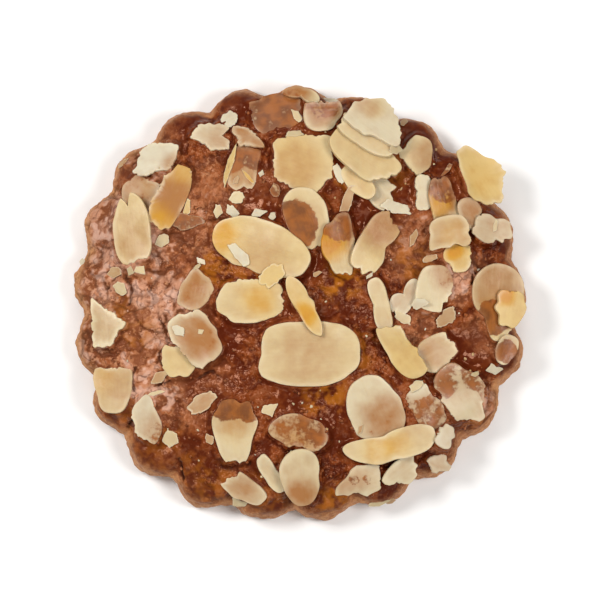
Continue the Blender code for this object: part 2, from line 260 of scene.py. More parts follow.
def bakedCrust(look):
    # spiced shortcrust dough, baked dark under an egg wash: glossy where the wash pooled, a dull pinkish
    # film where it dried on the crumb, partly a painted sheen, and matte, paler crumb down the side where
    # the cutter left it bare
    material, tree = newMaterial("egg_washed_baked_dough")
    colour = {name: hexColour(text) for name, text in look.items() if isinstance(text, str)}
    where = addNode(tree, "ShaderNodeTexCoord").outputs["Object"]
    dry, pool, golden, crack, side, slope, rise, shade = (
        addNode(tree, "ShaderNodeAttribute", attribute_name=name)
        for name in ("dry", "pool", "golden", "crack", "side", "slope", "rise", "shade"))
    broad, middle, fine, grit = (
        addNode(tree, "ShaderNodeTexNoise", {
            "Vector": where, "Scale": 1 / (look[size] * mm), "Detail": 1.0})
        for size in ("broadMm", "middleMm", "fineMm", "gritMm"))

    # red-brown to mid brown with the noises, lighter on what stands up as painted light
    tone = middle
    for source, weight in ((broad, 0.5), (fine, 0.5), (rise, 0.22)):
        tone = addNode(tree, "ShaderNodeMath", {0: source, 1: weight, 2: tone}, operation="MULTIPLY_ADD")
    lit = addNode(tree, "ShaderNodeMapRange", {0: tone, 1: 0.82, 2: 1.22}, **eased)

    # dark pits and pale crumb at the two finest sizes, fewer of both in smooth patches and pooled glaze:
    # the pits darken the bump's hollows, partly as painted shade, and the crumb's pale specks are partly
    # painted glints
    unpooled = addNode(tree, "ShaderNodeMath", {0: pool, 1: -0.8, 2: 1.0}, operation="MULTIPLY_ADD")
    uneven = addNode(tree, "ShaderNodeMapRange", {0: broad, 1: 0.42, 2: 0.60, 3: 0.4, 4: 1.0})
    rough = addNode(tree, "ShaderNodeMath", {0: unpooled, 1: uneven}, operation="MULTIPLY")
    pits = fine
    for source, weight in ((grit, 0.6), (rise, 0.12)):
        pits = addNode(tree, "ShaderNodeMath", {0: source, 1: weight, 2: pits}, operation="MULTIPLY_ADD")
    shadedPits = addNode(tree, "ShaderNodeMapRange", {0: pits, 1: 0.74, 2: 0.54, 4: 0.75}, **eased)
    thin = addNode(tree, "ShaderNodeMath", {0: dry, 1: -0.4, 2: 1.0}, operation="MULTIPLY_ADD")

    # where the wash dried thin the dough shows, with more crumb on it, whose pale specks are partly painted
    # glints
    bared = addNode(tree, "ShaderNodeMapRange", {0: tone, 1: 0.80, 2: 1.10, 3: 0.35, 4: 0.85})
    crumb = addNode(tree, "ShaderNodeMath", {0: dry, 1: 0.09, 2: pits}, operation="MULTIPLY_ADD")
    crumb = addNode(tree, "ShaderNodeMapRange", {0: crumb, 1: 0.88, 2: 0.96}, **eased)
    crumbly = addNode(tree, "ShaderNodeMath", {0: dry, 1: 0.5, 2: 0.22}, operation="MULTIPLY_ADD")

    # over that lies the film, its colour partly a painted sheen: blotches, pricked by the deeper pits, and
    # a painted highlight where it is thickest
    filmSheen = addNode(tree, "ShaderNodeMix", {0: 0.45, 2: middle, 3: broad})
    for source, weight in ((dry, 0.42), (rise, 0.07)):
        filmSheen = addNode(tree, "ShaderNodeMath", {0: source, 1: weight, 2: filmSheen}, operation="MULTIPLY_ADD")
    filmSheen = addNode(tree, "ShaderNodeMapRange", {0: filmSheen, 1: 0.80, 2: 0.90}, **eased)
    filmSheen = addNode(tree, "ShaderNodeMath", {0: filmSheen, 1: dry}, operation="MULTIPLY")
    pricked = addNode(tree, "ShaderNodeMapRange", {0: pits, 1: 0.60, 2: 0.74, 3: 0.35, 4: 0.8})
    thick = addNode(tree, "ShaderNodeMapRange", {0: middle, 1: 0.53, 2: 0.61, 4: 0.56}, **eased)

    # it crazed into little plates as it shrank: thin dark lines where cells bent by noise meet
    bend = addNode(tree, "ShaderNodeTexNoise", {
        "Vector": where, "Scale": 1 / (look["middleMm"] * mm), "Detail": 2.0})
    bent = addNode(tree, "ShaderNodeVectorMath", {
        0: bend.outputs["Color"], 1: (look["bendMm"] * mm,) * 3, 2: where}, operation="MULTIPLY_ADD")
    craze = addNode(tree, "ShaderNodeTexVoronoi", {"Vector": bent, "Scale": 1 / (look["plateMm"] * mm)},
                    feature="DISTANCE_TO_EDGE")
    craze = addNode(tree, "ShaderNodeMapRange", {0: craze, 1: 0.08, 2: 0.015}, **eased)
    raised = addNode(tree, "ShaderNodeMapRange", {0: tone, 1: 0.99, 2: 1.12}, **eased)
    raised = addNode(tree, "ShaderNodeMath", {0: raised, 1: dry}, operation="MULTIPLY")
    craze = addNode(tree, "ShaderNodeMath", {0: craze, 1: raised}, operation="MULTIPLY")

    # each layer covers what is under it by the product of its factors; the last layer is painted shade,
    # the dark gap colour laid where the shade mask marks the dough beside the flakes and round the shoulder
    melted = addNode(tree, "ShaderNodeMapRange", {0: middle, 1: 0.38, 2: 0.6}, **eased)
    base = colour["redBrown"]
    for layer, share, *factors in (
            ("midBrown", lit), ("gapShade", shadedPits, rough, thin), ("dryDough", bared, dry),
            ("crumb", crumb, rough, crumbly), ("filmAndSheen", filmSheen, pricked), ("paleFilmSheen", filmSheen, thick),
            ("gapShade", craze, 0.5), ("golden", melted, golden), ("glaze", pool, 0.75),
            ("gapShade", shade, 0.38)):
        for factor in factors:
            share = addNode(tree, "ShaderNodeMath", {0: share, 1: factor}, operation="MULTIPLY")
        base = addNode(tree, "ShaderNodeMix", {0: share, 6: base, 7: colour[layer]}, **inColour)

    # the side's bare crumb, and the cracks through everything
    share = addNode(tree, "ShaderNodeMapRange", {0: pits, 1: 0.58, 2: 0.98}, **eased)
    share = addNode(tree, "ShaderNodeMath", {0: dry, 1: 0.45, 2: share}, operation="MULTIPLY_ADD")
    bare = addNode(tree, "ShaderNodeMix", {0: share, 6: colour["sideDark"], 7: colour["side"]}, **inColour)
    base = addNode(tree, "ShaderNodeMix", {0: side, 6: base, 7: bare}, **inColour)
    share = addNode(tree, "ShaderNodeMath", {0: crack, 1: 0.85}, operation="MULTIPLY")
    base = addNode(tree, "ShaderNodeMix", {0: share, 6: base, 7: colour["crack"]}, **inColour)

    gloss = look["roughness"]
    for source, weight in ((dry, 0.13), (slope, 0.45), (pool, -0.11), (crack, 0.3), (shade, 0.2)):
        gloss = addNode(tree, "ShaderNodeMath", {0: source, 1: weight, 2: gloss}, operation="MULTIPLY_ADD")
    relief = middle
    for source, weight in ((fine, 0.5), (grit, 0.2), (craze, -0.3)):
        relief = addNode(tree, "ShaderNodeMath", {
            0: source, 1: weight, 2: relief}, operation="MULTIPLY_ADD")
    strength = addNode(tree, "ShaderNodeMath", {0: filmSheen, 1: -0.4, 2: 1.0}, operation="MULTIPLY_ADD")
    strength = addNode(tree, "ShaderNodeMath", {0: rough, 1: strength}, operation="MULTIPLY")
    bump = addNode(tree, "ShaderNodeBump", {
        "Strength": strength, "Distance": look["reliefMm"] * mm, "Height": relief})
    shader = addNode(tree, "ShaderNodeBsdfPrincipled", {
        "Base Color": base, "Roughness": gloss, "Normal": bump,
        "IOR": 1.5, "Specular IOR Level": 0.29, "Specular Tint": colour["sheen"]})  # dried egg and sugar
    addNode(tree, "ShaderNodeOutputMaterial", {"Surface": shader})
    return material


# the edge colour is the whiter cut face, and along the rim partly a painted highlight
almondFinish = {
    "white": "#cac0a8", "cream": "#c7b289", "yellow": "#caac70", "tan": "#a06c3c", "golden": "#c08917",
    "orange": "#b96e1b", "soaked": "#96541d", "soakedDark": "#6c340d", "edge": "#dccdae",
    "cloudMm": 2.6, "fineMm": 0.7, "streakMm": 0.55,
    "roughness": 0.38, "reliefMm": 0.12, "depthMm": 0.9,  # how far light goes into the nut
}


def slicedAlmond(look):
    # a blanched almond cut across by a slicer: a smooth waxy face with faint lengthwise fibres, toasted tan
    # or gold where it caught the heat, and brown and half clear where the glaze soaked in
    material, tree = newMaterial("toasted_sliced_almond")
    colour = {name: hexColour(text) for name, text in look.items() if isinstance(text, str)}
    where = addNode(tree, "ShaderNodeTexCoord").outputs["Object"]
    lengthwise = addNode(tree, "ShaderNodeAttribute", attribute_name="grain").outputs["Vector"]
    warm, tan, gold, soak, rim = (addNode(tree, "ShaderNodeAttribute", attribute_name=name)
                                  for name in ("warm", "tan", "gold", "soak", "rim"))
    cloud, fine, streak = (
        addNode(tree, "ShaderNodeTexNoise", {
            "Vector": along, "Scale": 1 / (look[size] * mm), "Detail": detail})
        for along, size, detail in (
            (where, "cloudMm", 2.0), (where, "fineMm", 2.0), (lengthwise, "streakMm", 1.0)))
    creamy = addNode(tree, "ShaderNodeMapRange", {0: warm, 1: 0.0, 2: 0.55}, **eased)
    yellowed = addNode(tree, "ShaderNodeMapRange", {0: warm, 1: 0.5, 2: 1.0}, **eased)

    # the toasted parts come and go with the clouds and run along the streaks
    drift = addNode(tree, "ShaderNodeMath", {0: streak, 1: 0.2, 2: cloud}, operation="MULTIPLY_ADD")
    drift = addNode(tree, "ShaderNodeMath", {0: drift, 1: 0.6}, operation="SUBTRACT")
    toasted = addNode(tree, "ShaderNodeMath", {0: drift, 1: 0.65, 2: tan}, operation="MULTIPLY_ADD")
    toasted = addNode(tree, "ShaderNodeMapRange", {0: toasted, 1: -0.04, 2: 0.96})
    heat = addNode(tree, "ShaderNodeMath", {0: drift, 1: 0.35, 2: gold}, operation="MULTIPLY_ADD")
    gilded = addNode(tree, "ShaderNodeMapRange", {0: heat, 1: 0.05, 2: 0.95, 4: 0.85}, **eased)
    deeper = addNode(tree, "ShaderNodeMapRange", {0: heat, 1: 0.8, 2: 1.2, 4: 0.7}, **eased)

    # soaked parts have a ragged edge and are mottled, and the edge is paler: partly the whiter cut face,
    # partly a painted highlight along the rim
    ragged = addNode(tree, "ShaderNodeMath", {0: fine, 1: 0.5, 2: cloud}, operation="MULTIPLY_ADD")
    ragged = addNode(tree, "ShaderNodeMath", {0: ragged, 1: 0.9, 2: soak}, operation="MULTIPLY_ADD")
    soaked = addNode(tree, "ShaderNodeMapRange", {0: ragged, 1: 1.02, 2: 1.22, 4: 0.9}, **eased)
    mottle = addNode(tree, "ShaderNodeMapRange", {0: drift, 1: -0.2, 2: 0.2}, **eased)
    wet = addNode(tree, "ShaderNodeMix", {
        0: mottle, 6: colour["soakedDark"], 7: colour["soaked"]}, **inColour)
    paleEdgeAndHighlight = addNode(tree, "ShaderNodeMapRange", {0: cloud, 1: 0.35, 2: 0.65, 3: 0.3, 4: 0.7})
    paleEdgeAndHighlight = addNode(tree, "ShaderNodeMath", {0: rim, 1: paleEdgeAndHighlight}, operation="MULTIPLY")

    base = colour["white"]
    for share, shown in (
            (creamy, colour["cream"]), (yellowed, colour["yellow"]), (toasted, colour["tan"]),
            (gilded, colour["golden"]), (deeper, colour["orange"]), (soaked, wet), (paleEdgeAndHighlight, colour["edge"])):
        base = addNode(tree, "ShaderNodeMix", {0: share, 6: base, 7: shown}, **inColour)

    gloss = addNode(tree, "ShaderNodeMath", {
        0: soak, 1: -0.12, 2: look["roughness"]}, operation="MULTIPLY_ADD")
    relief = addNode(tree, "ShaderNodeMath", {0: streak, 1: 0.8, 2: fine}, operation="MULTIPLY_ADD")
    bump = addNode(tree, "ShaderNodeBump", {
        "Strength": 0.3, "Distance": look["reliefMm"] * mm, "Height": relief})
    shader = addNode(tree, "ShaderNodeBsdfPrincipled", {
        "Base Color": base, "Roughness": gloss, "Normal": bump,
        "IOR": 1.46, "Specular IOR Level": 0.28,  # almond oil
        "Subsurface Weight": 0.3, "Subsurface Radius": (1.0, 0.75, 0.45),
        "Subsurface Scale": look["depthMm"] * mm})
    addNode(tree, "ShaderNodeOutputMaterial", {"Surface": shader})
    return material


crustMaterial = bakedCrust(crustFinish)
almondMaterial = slicedAlmond(almondFinish)
print("materials made")

# How each flake looks, in the order of their names. warm runs from white (0) to yellow (1); tan, gold and
# soak are how far the whole face is toasted, golden or browned by the glaze, and core how tan its middle
# is. embed is how far the glaze rose round it, and mound how high the dough swelled under it. broken lists
# the ways its snapped edges face, in degrees, and bites where its outline leaves the plate's, inwards if
# the depth is positive, outwards if not: (direction, depth, width). Each patch adds to one of those looks:
# (which, how far across its box, how far up, size as a share of the box, strength). Lengths are in
# millimetres.
flakeLooks = [
    dict(warm=0.4, tan=0.7, soak=0.25, core=0, embed=0.6, broken=(120, 65),
         bites=[(300, -1.1, 2.6), (125, 1.0, 3.2), (60, 0.8, 3), (12, -1.0, 1.2)]),
    dict(warm=0.1, core=0, broken=(123, 79, 0, -46, -82, 163), patches=[("tan", 0.88, 0.35, 0.28, 0.7)],
         bites=[(29, -0.9, 1.6), (245, -0.7, 3)]),
    dict(warm=0.85, gold=0.15, tan=0.35, core=0, broken=(150, 120, -100, 30),
         patches=[("tan", 0.6, 0.42, 0.4, 0.7), ("gold", 0.12, 0.28, 0.2, 0.4),
                  ("gold", 0.75, 0.9, 0.25, 0.3), ("gold", 0.35, 0.04, 0.22, 0.45)],
         bites=[(35, 0.5, 3), (256, -1, 2.4), (95, 0.4, 2)]),
    dict(warm=0.7, core=0.05, mound=2.3, broken=(-75,), patches=[("tan", 0.6, 0.28, 0.5, 0.38)],
         bites=[(102, 2.9, 1.3)]),
    dict(warm=0.25, core=0, tan=0.1, broken=(92, 0, -83, 238, 149),
         patches=[("tan", 0.75, 0.35, 0.4, 0.4)], bites=[(8, 1.7, 1.4), (98, -0.3, 1.2)]),
    dict(warm=0.4, tan=0.5, soak=0.7, embed=1, broken=(-5, -67, 202),
         bites=[(154, -0.9, 1.6), (95, -0.9, 4), (200, -1.5, 4.5), (-30, -1.5, 4.5)]),
    dict(warm=0.5, patches=[("tan", 0.3, 0.6, 0.5, 0.9), ("soak", 0.2, 0.5, 0.35, 0.4)],
         bites=[(278, 0.9, 3.5)]),
    dict(warm=0.4, broken=(92,), patches=[("tan", 0.5, 0.95, 0.6, 0.95), ("soak", 0.5, 1.0, 0.5, 0.5)],
         bites=[(335, 1, 3.2)]),
    dict(warm=0.4, tan=0.6, soak=0.65, embed=0.8, broken=(-80,), patches=[("soak", 0.5, 0.1, 0.4, -0.5)],
         bites=[(46, -0.9, 1.4)]),
    dict(warm=0.3, tan=0.7, soak=0.1, broken=(88, 40, -90, 196)),
    dict(warm=0.7, core=0, broken=(94, 0, -42, -95, 238, 180),
         patches=[("tan", 0.35, 0.45, 0.4, 0.45), ("gold", 0.3, 0.5, 0.3, 0.12)], bites=[(45, -0.9, 2.2)]),
    dict(warm=0.6, core=0, broken=(-62,),
         patches=[("soak", 0.2, 0.38, 0.42, 1.0), ("tan", 0.3, 0.4, 0.4, 0.5)]),
    dict(warm=0.3, broken=(-50,), bites=[(-10, 1.4, 2.6), (17, -1.2, 1)]),
    dict(warm=0.75),
    dict(warm=0.7, core=0.1, thickness=1.1, broken=(-30, -75, 62)),
    dict(warm=0.5, core=0.1, thickness=1.1, broken=(150,)),
    dict(warm=0.25, core=0, thickness=1.1, broken=(0, 20),
         patches=[("tan", 0.42, 0.8, 0.2, 0.5), ("gold", 0.55, 0.8, 0.15, 0.15)],
         bites=[(222, -0.9, 5), (140, -0.7, 4), (35, -0.6, 4)]),
    dict(warm=0.5, core=0, broken=(217,), patches=[("tan", 0.8, 0.5, 0.38, 0.6)],
         bites=[(290, 0.5, 2.2), (175, -0.7, 1.6)]),
    dict(warm=0.3, broken=(0, 90, 180, -90), bites=[(8, 0.6, 1.3), (172, 0.3, 1), (250, -0.5, 1.4)]),
    dict(warm=0.5, broken=(97,),
         patches=[("tan", 0.5, 0.75, 0.55, 1.1), ("soak", 0.55, 0.85, 0.45, 0.6),
                  ("gold", 0.4, 0.45, 0.3, 0.7)]),
    dict(warm=0.3, tan=0.65, bites=[(-35, 1.1, 2.6), (-85, -0.4, 1)]),
    dict(warm=0.25, tan=0.3, broken=(-78, 0, 185, 120),
         bites=[(188, -0.8, 1.3), (75, 0.5, 2), (-52, -0.6, 1.3)]),
    dict(warm=0.9, gold=0.05, core=0, mound=2.4, broken=(0, -88), patches=[("gold", 0.5, 0.45, 0.3, 0.3)],
         bites=[(11, -1, 1.1)]),
    dict(warm=0.85, gold=0.25, broken=(217, 0), patches=[("gold", 0.35, 0.75, 0.3, 0.7)]),
    dict(warm=0.5, tan=0.3, broken=(-84, 0), patches=[("gold", 0.6, 0.4, 0.35, 0.3)],
         bites=[(223, -1.3, 2.4)]),
    dict(warm=0.2, tan=0.2, broken=(-95,), bites=[(100, 2.4, 4)]),
    dict(warm=0.4, core=0, broken=(-28,),
         patches=[("tan", 0.85, 0.8, 0.35, 0.7), ("soak", 0.9, 0.75, 0.3, 0.35)]),
    dict(warm=0.5, bites=[(185, 0.9, 7)]),
    dict(warm=0.5, broken=(40, -33), patches=[("tan", 0.35, 0.45, 0.4, 0.5)],
         bites=[(-28, 1.2, 3.2), (2, 0.3, 1.5)]),
    dict(warm=0.75, core=0.1, broken=(34, 97), patches=[("gold", 0.5, 0.4, 0.3, 0.12)],
         bites=[(165, 0.5, 4)]),
    dict(warm=0.5, broken=(-20,),
         patches=[("tan", 0.45, 0.75, 0.5, 0.6), ("soak", 0.42, 0.32, 0.26, 0.85),
                  ("gold", 0.4, 0.35, 0.3, 0.3)], bites=[(235, 1, 4.5)]),
    dict(warm=0.9, core=0.05, thickness=1.15, broken=(100,),
         patches=[("gold", 0.35, 0.92, 0.3, 1.1), ("gold", 0.6, 0.5, 0.35, 0.15)],
         bites=[(150, 0.6, 1.6), (205, 0.9, 2.2), (255, 0.6, 1.6), (30, 0.5, 1.8)]),
    dict(warm=0.4, core=0.2, patches=[("soak", 0.5, 0.45, 0.4, 0.7), ("tan", 0.5, 0.5, 0.4, 0.6)]),
    dict(warm=0.3, tan=0.45, soak=0.5, core=0, embed=0.9, broken=(-92, 0, 210),
         patches=[("soak", 0.6, 0.15, 0.3, -1.0), ("tan", 0.6, 0.15, 0.3, -0.3)], bites=[(78, 1.4, 4.2)]),
    dict(warm=0.4, core=0.3, broken=(183, 54, -32, -95), bites=[(58, -0.5, 3.2), (0, -0.5, 1.6)]),
    dict(warm=0.4, tan=0.75, soak=0.25, embed=0.7, patches=[("tan", 0.95, 0.3, 0.25, -0.3)],
         bites=[(58, 0.8, 2.4), (118, 0.5, 2.2), (88, -0.2, 1), (0, -0.6, 1.5), (218, -0.8, 1.6)]),
    dict(warm=0.75, core=0.1, broken=(88, 184), bites=[(20, 1.1, 2.6), (270, 1.3, 2.6)]),
    dict(warm=0.3, broken=(228, -80, 95),
         patches=[("tan", 0.6, 0.5, 0.42, 0.8), ("soak", 0.62, 0.5, 0.3, 0.2)],
         bites=[(5, 1, 3.6), (42, 0.8, 2.6), (180, 1.1, 4), (-74, -0.7, 2.2)]),
    dict(warm=0.6, tan=0.28, core=0, broken=(93, 60),
         patches=[("gold", 0.15, 0.75, 0.35, 0.3), ("tan", 0.65, 0.6, 0.4, 0.2)],
         bites=[(131, -1.1, 2.2), (45, -0.9, 2.2), (200, 0.8, 4.5)]),
    dict(warm=0.2, core=0, tan=0.1, embed=0.9, broken=(-70, -110, 200),
         patches=[("tan", 0.8, 0.25, 0.42, 0.45), ("soak", 0.75, 0.1, 0.3, 0.4)],
         bites=[(115, 0.9, 3), (60, 0.9, 3.2), (232, -0.7, 1.4), (285, -0.7, 1.4)]),
    dict(warm=0.4, core=0, broken=(-86,),
         patches=[("soak", 0.3, 0.95, 0.3, 0.9), ("soak", 0.8, 0.9, 0.26, 0.9),
                  ("tan", 0.5, 0.8, 0.4, 0.55), ("gold", 0.5, 0.6, 0.25, 0.25)],
         bites=[(-35, 1.2, 6), (78, 0.9, 1.8), (45, 0.8, 2.5), (130, 0.7, 2.5)]),
    dict(warm=0.35, tan=0.2, broken=(125,), patches=[("tan", 0.5, 0.6, 0.35, 0.3)],
         bites=[(-68, 1, 4.2), (-15, -0.3, 1.5)]),
    dict(warm=0.4, bites=[(107, -0.6, 1.3)]),
    dict(warm=0.3, tan=0.6, soak=0.45, embed=0.5, broken=(-97,),
         patches=[("gold", 0.45, 0.2, 0.3, 0.3), ("soak", 0.75, 0.6, 0.3, 0.12)],
         bites=[(150, 1, 3.4), (200, 0.6, 3), (5, 0.5, 2.5)]),
    dict(warm=0.4, core=0.16, patches=[("tan", 0.5, 0.1, 0.4, 0.8)], bites=[(10, 0.35, 5)]),
    dict(warm=0.3, tan=0.1, core=0.15, broken=(-92, 8),
         patches=[("soak", 0.4, 0.55, 0.14, 0.5), ("soak", 0.7, 0.5, 0.12, 0.45),
                  ("tan", 0.3, 0.5, 0.4, 0.3)], bites=[(250, 0.8, 3.2), (178, 1.1, 3.2), (97, -0.7, 2.2)]),
    dict(warm=0.3, broken=(-98, 15), bites=[(270, 0.8, 2.6)]),
    dict(warm=0.3, core=0, patches=[("tan", 0.66, 0.38, 0.34, 0.8), ("soak", 0.62, 0.25, 0.25, 0.25)],
         bites=[(60, 0.8, 4), (233, -1, 3)]),
    dict(warm=0.2, tan=0.6, soak=0.5, core=0, embed=0.9, broken=(120, 60, 180, 0),
         patches=[("tan", 0.3, 0.95, 0.3, -0.6), ("soak", 0.3, 0.95, 0.3, -0.5)],
         bites=[(70, 0.5, 2.2), (20, -0.6, 2)]),
    dict(warm=0.55, core=0.05,
         patches=[("gold", 0.38, 0.42, 0.18, 0.45), ("gold", 0.6, 0.55, 0.16, 0.4),
                  ("tan", 0.75, 0.75, 0.2, 0.2)],
         bites=[(37, -1.4, 3.4), (-28, 0.9, 4.4), (-80, 0.7, 5), (200, 0.7, 4)]),
    dict(warm=0.15, tan=0.1, core=0.05, mound=2.8, broken=(140,),
         bites=[(20, 0.8, 1.6), (-38, 0.8, 1.8), (-10, 0.5, 1.6)]),
    dict(warm=0.2, tan=0.25, broken=(97, 28, -60, 205), bites=[(265, 1.2, 1.9), (75, -0.6, 1.2)]),
    dict(warm=0.5, core=0, tan=0.15, broken=(-70,),
         patches=[("tan", 0.55, 0.8, 0.45, 0.85), ("soak", 0.6, 0.85, 0.42, 0.55),
                  ("gold", 0.12, 0.5, 0.4, 1.15)],
         bites=[(108, 1.3, 2.6), (196, -1.1, 4), (293, -1, 1.5), (72, -0.9, 1.8), (15, -0.5, 2)]),
    dict(warm=0.75, core=0, broken=(-110, 45),
         patches=[("tan", 0.6, 0.75, 0.4, 0.8), ("soak", 0.65, 0.8, 0.25, 0.2)],
         bites=[(42, 1, 2.2), (22, -0.4, 0.9), (-25, 0.9, 4), (247, -0.7, 1.8)]),
    dict(warm=0.75, core=0, patches=[("gold", 0.08, 0.68, 0.2, 0.85), ("tan", 0.5, 0.3, 0.3, 0.4)],
         bites=[(137, 0.8, 4.4), (235, 0.7, 3.4)]),
    dict(warm=0.65, core=0.1, broken=(91, 0), patches=[("gold", 0.65, 0.55, 0.25, 0.55)],
         bites=[(213, 0.8, 2.4), (-33, -0.8, 2.2), (0, -0.6, 2.2)]),
    dict(warm=0.62, core=0.04, patches=[("tan", 0.48, 0.5, 0.36, 0.34)],
         bites=[(-30, 0.6, 5), (205, -0.5, 2.4)]),
    dict(warm=0.75, gold=0.3, core=0, patches=[("gold", 0.55, 0.3, 0.2, 0.6)],
         bites=[(-60, -0.9, 2.2), (-25, 0.5, 2.5), (-95, 0.4, 2.5)]),
]

flakeForm = {
    "rimSteps": 192,
    "thickness": 0.65,  # thinner than its CAD plate, with its top in the same place
    "topRows": (0.1, 0.25, 0.4, 0.54, 0.66, 0.77, 0.86, 0.93),  # shares of the way to the rim
    "edge": [(0.2, 0.0), (0.09, -0.04), (0.06, -0.15), (0.0, -0.7), (0.15, -1.0)],  # (inwards, share down)
    "underRows": (0.7, 0.35), "curveSteps": 2000,
    "waver": 0.18, "teeth": 0.34, "swell": 0.36,  # heights of the noise on its rim, its breaks and its face
}


def readFlake(node):
    # the flake's own plane, its rim as points along and across it, and how far its middle is sunk, all from
    # its CAD plate: the upper faces' area vectors add up to the plane's normal, and the rim is what lies on
    # an edge that only one of those faces has
    mesh = node.data
    corners = np.empty(len(mesh.vertices) * 3)
    mesh.vertices.foreach_get("co", corners)
    sides = np.empty(len(mesh.loops), np.int64)
    mesh.loops.foreach_get("vertex_index", sides)
    corners = corners.reshape(-1, 3)[sides].reshape(-1, 3, 3) / mm
    area = np.cross(corners[:, 1] - corners[:, 0], corners[:, 2] - corners[:, 0])
    upper = area[:, 2] > 0.75 * np.linalg.norm(area, axis=1)
    normal = area[upper].sum(axis=0)
    normal /= np.linalg.norm(normal)
    points, number = np.unique(corners[upper].reshape(-1, 3).round(3), axis=0, return_inverse=True)
    number = number.reshape(-1, 3)
    edges = np.concatenate([number[:, [i, (i + 1) % 3]] for i in range(3)])
    forward, backward = edges @ (len(points), 1), edges @ (1, len(points))
    rim = points[np.unique(edges[~np.isin(forward, backward)])]
    middle = 0.5 * (rim.max(axis=0) + rim.min(axis=0))
    middle += normal * ((rim - middle) @ normal).mean()
    along = np.array([1.0, 0, 0]) - normal[0] * normal
    along /= np.linalg.norm(along)
    across = np.cross(normal, along)
    flat = np.stack([(rim - middle) @ along, (rim - middle) @ across], axis=1)
    flat = flat[np.argsort(np.arctan2(flat[:, 1], flat[:, 0]))]
    cup = -((points - middle) @ normal).min()
    return dict(name=node.name, middle=middle, normal=normal, along=along, across=across, rim=flat,
                cup=max(cup, 0), low=corners.min(axis=(0, 1)), high=corners.max(axis=(0, 1)))


def fineRim(flake, look, form, seed):
    # the plate's rim drawn as one smooth closed curve through its points, then wavered a little all round
    # and toothed where it was snapped
    knots = flake["rim"]
    steps = np.linspace(0, len(knots), form["curveSteps"], endpoint=False)
    first = np.floor(steps).astype(int)
    curve = smoothCurve(*(knots[(first + i) % len(knots)] for i in (-1, 0, 1, 2)), (steps - first)[:, None])
    gap = np.linalg.norm(np.roll(curve, -1, axis=0) - curve, axis=1)
    travelled = np.concatenate([[0], np.cumsum(gap)])
    wanted = np.arange(form["rimSteps"]) / form["rimSteps"] * travelled[-1]
    loop = np.concatenate([curve, curve[:1]])
    rim = np.stack([np.interp(wanted, travelled, loop[:, axis]) for axis in (0, 1)], axis=1)
    lengthways = np.roll(rim, -4, axis=0) - np.roll(rim, 4, axis=0)
    facing = np.arctan2(-lengthways[:, 0], lengthways[:, 1])
    broken = np.zeros(len(rim))
    for direction in look.get("broken", ()):
        broken = np.maximum(broken, smoothStep(0.88, 0.97, np.cos(facing - math.radians(direction))))
    outward = rim / np.linalg.norm(rim, axis=1, keepdims=True)
    place = np.column_stack([rim, np.full(len(rim), seed * 7.3)])
    teeth = 0.6 * softNoise(place, 1.1, seed) + 0.5 * softNoise(place, 0.5, seed + 1)
    teeth = np.sign(teeth) * np.abs(teeth) ** 0.7
    heading = np.arctan2(rim[:, 1], rim[:, 0])
    reach = np.linalg.norm(rim, axis=1)
    lift = np.zeros(len(rim))
    for direction, depth, width in look.get("bites", ()):
        away = np.abs((heading - math.radians(direction) + math.pi) % (2 * math.pi) - math.pi) * reach
        near = np.clip(1 - away / width, 0, 1)
        lift -= depth * (near if width < (3.6 if depth < 0 else 1.5) else smoothStep(0, 1, near))
    rim = rim + outward * (lift + form["waver"] * softNoise(place, 2.6, seed + 2)
                           + form["teeth"] * broken * (teeth - 0.2))[:, None]
    return rim, broken


flakes = [readFlake(frame["nodes"][name]) for name in sorted(frame["nodes"]) if name.startswith("flake")]
for seed, (flake, look) in enumerate(zip(flakes, flakeLooks)):
    flake["look"] = look
    flake["fineRim"], flake["broken"] = fineRim(flake, look, flakeForm, 300 + seed)
print(f"{len(flakes)} flakes read from the frame")

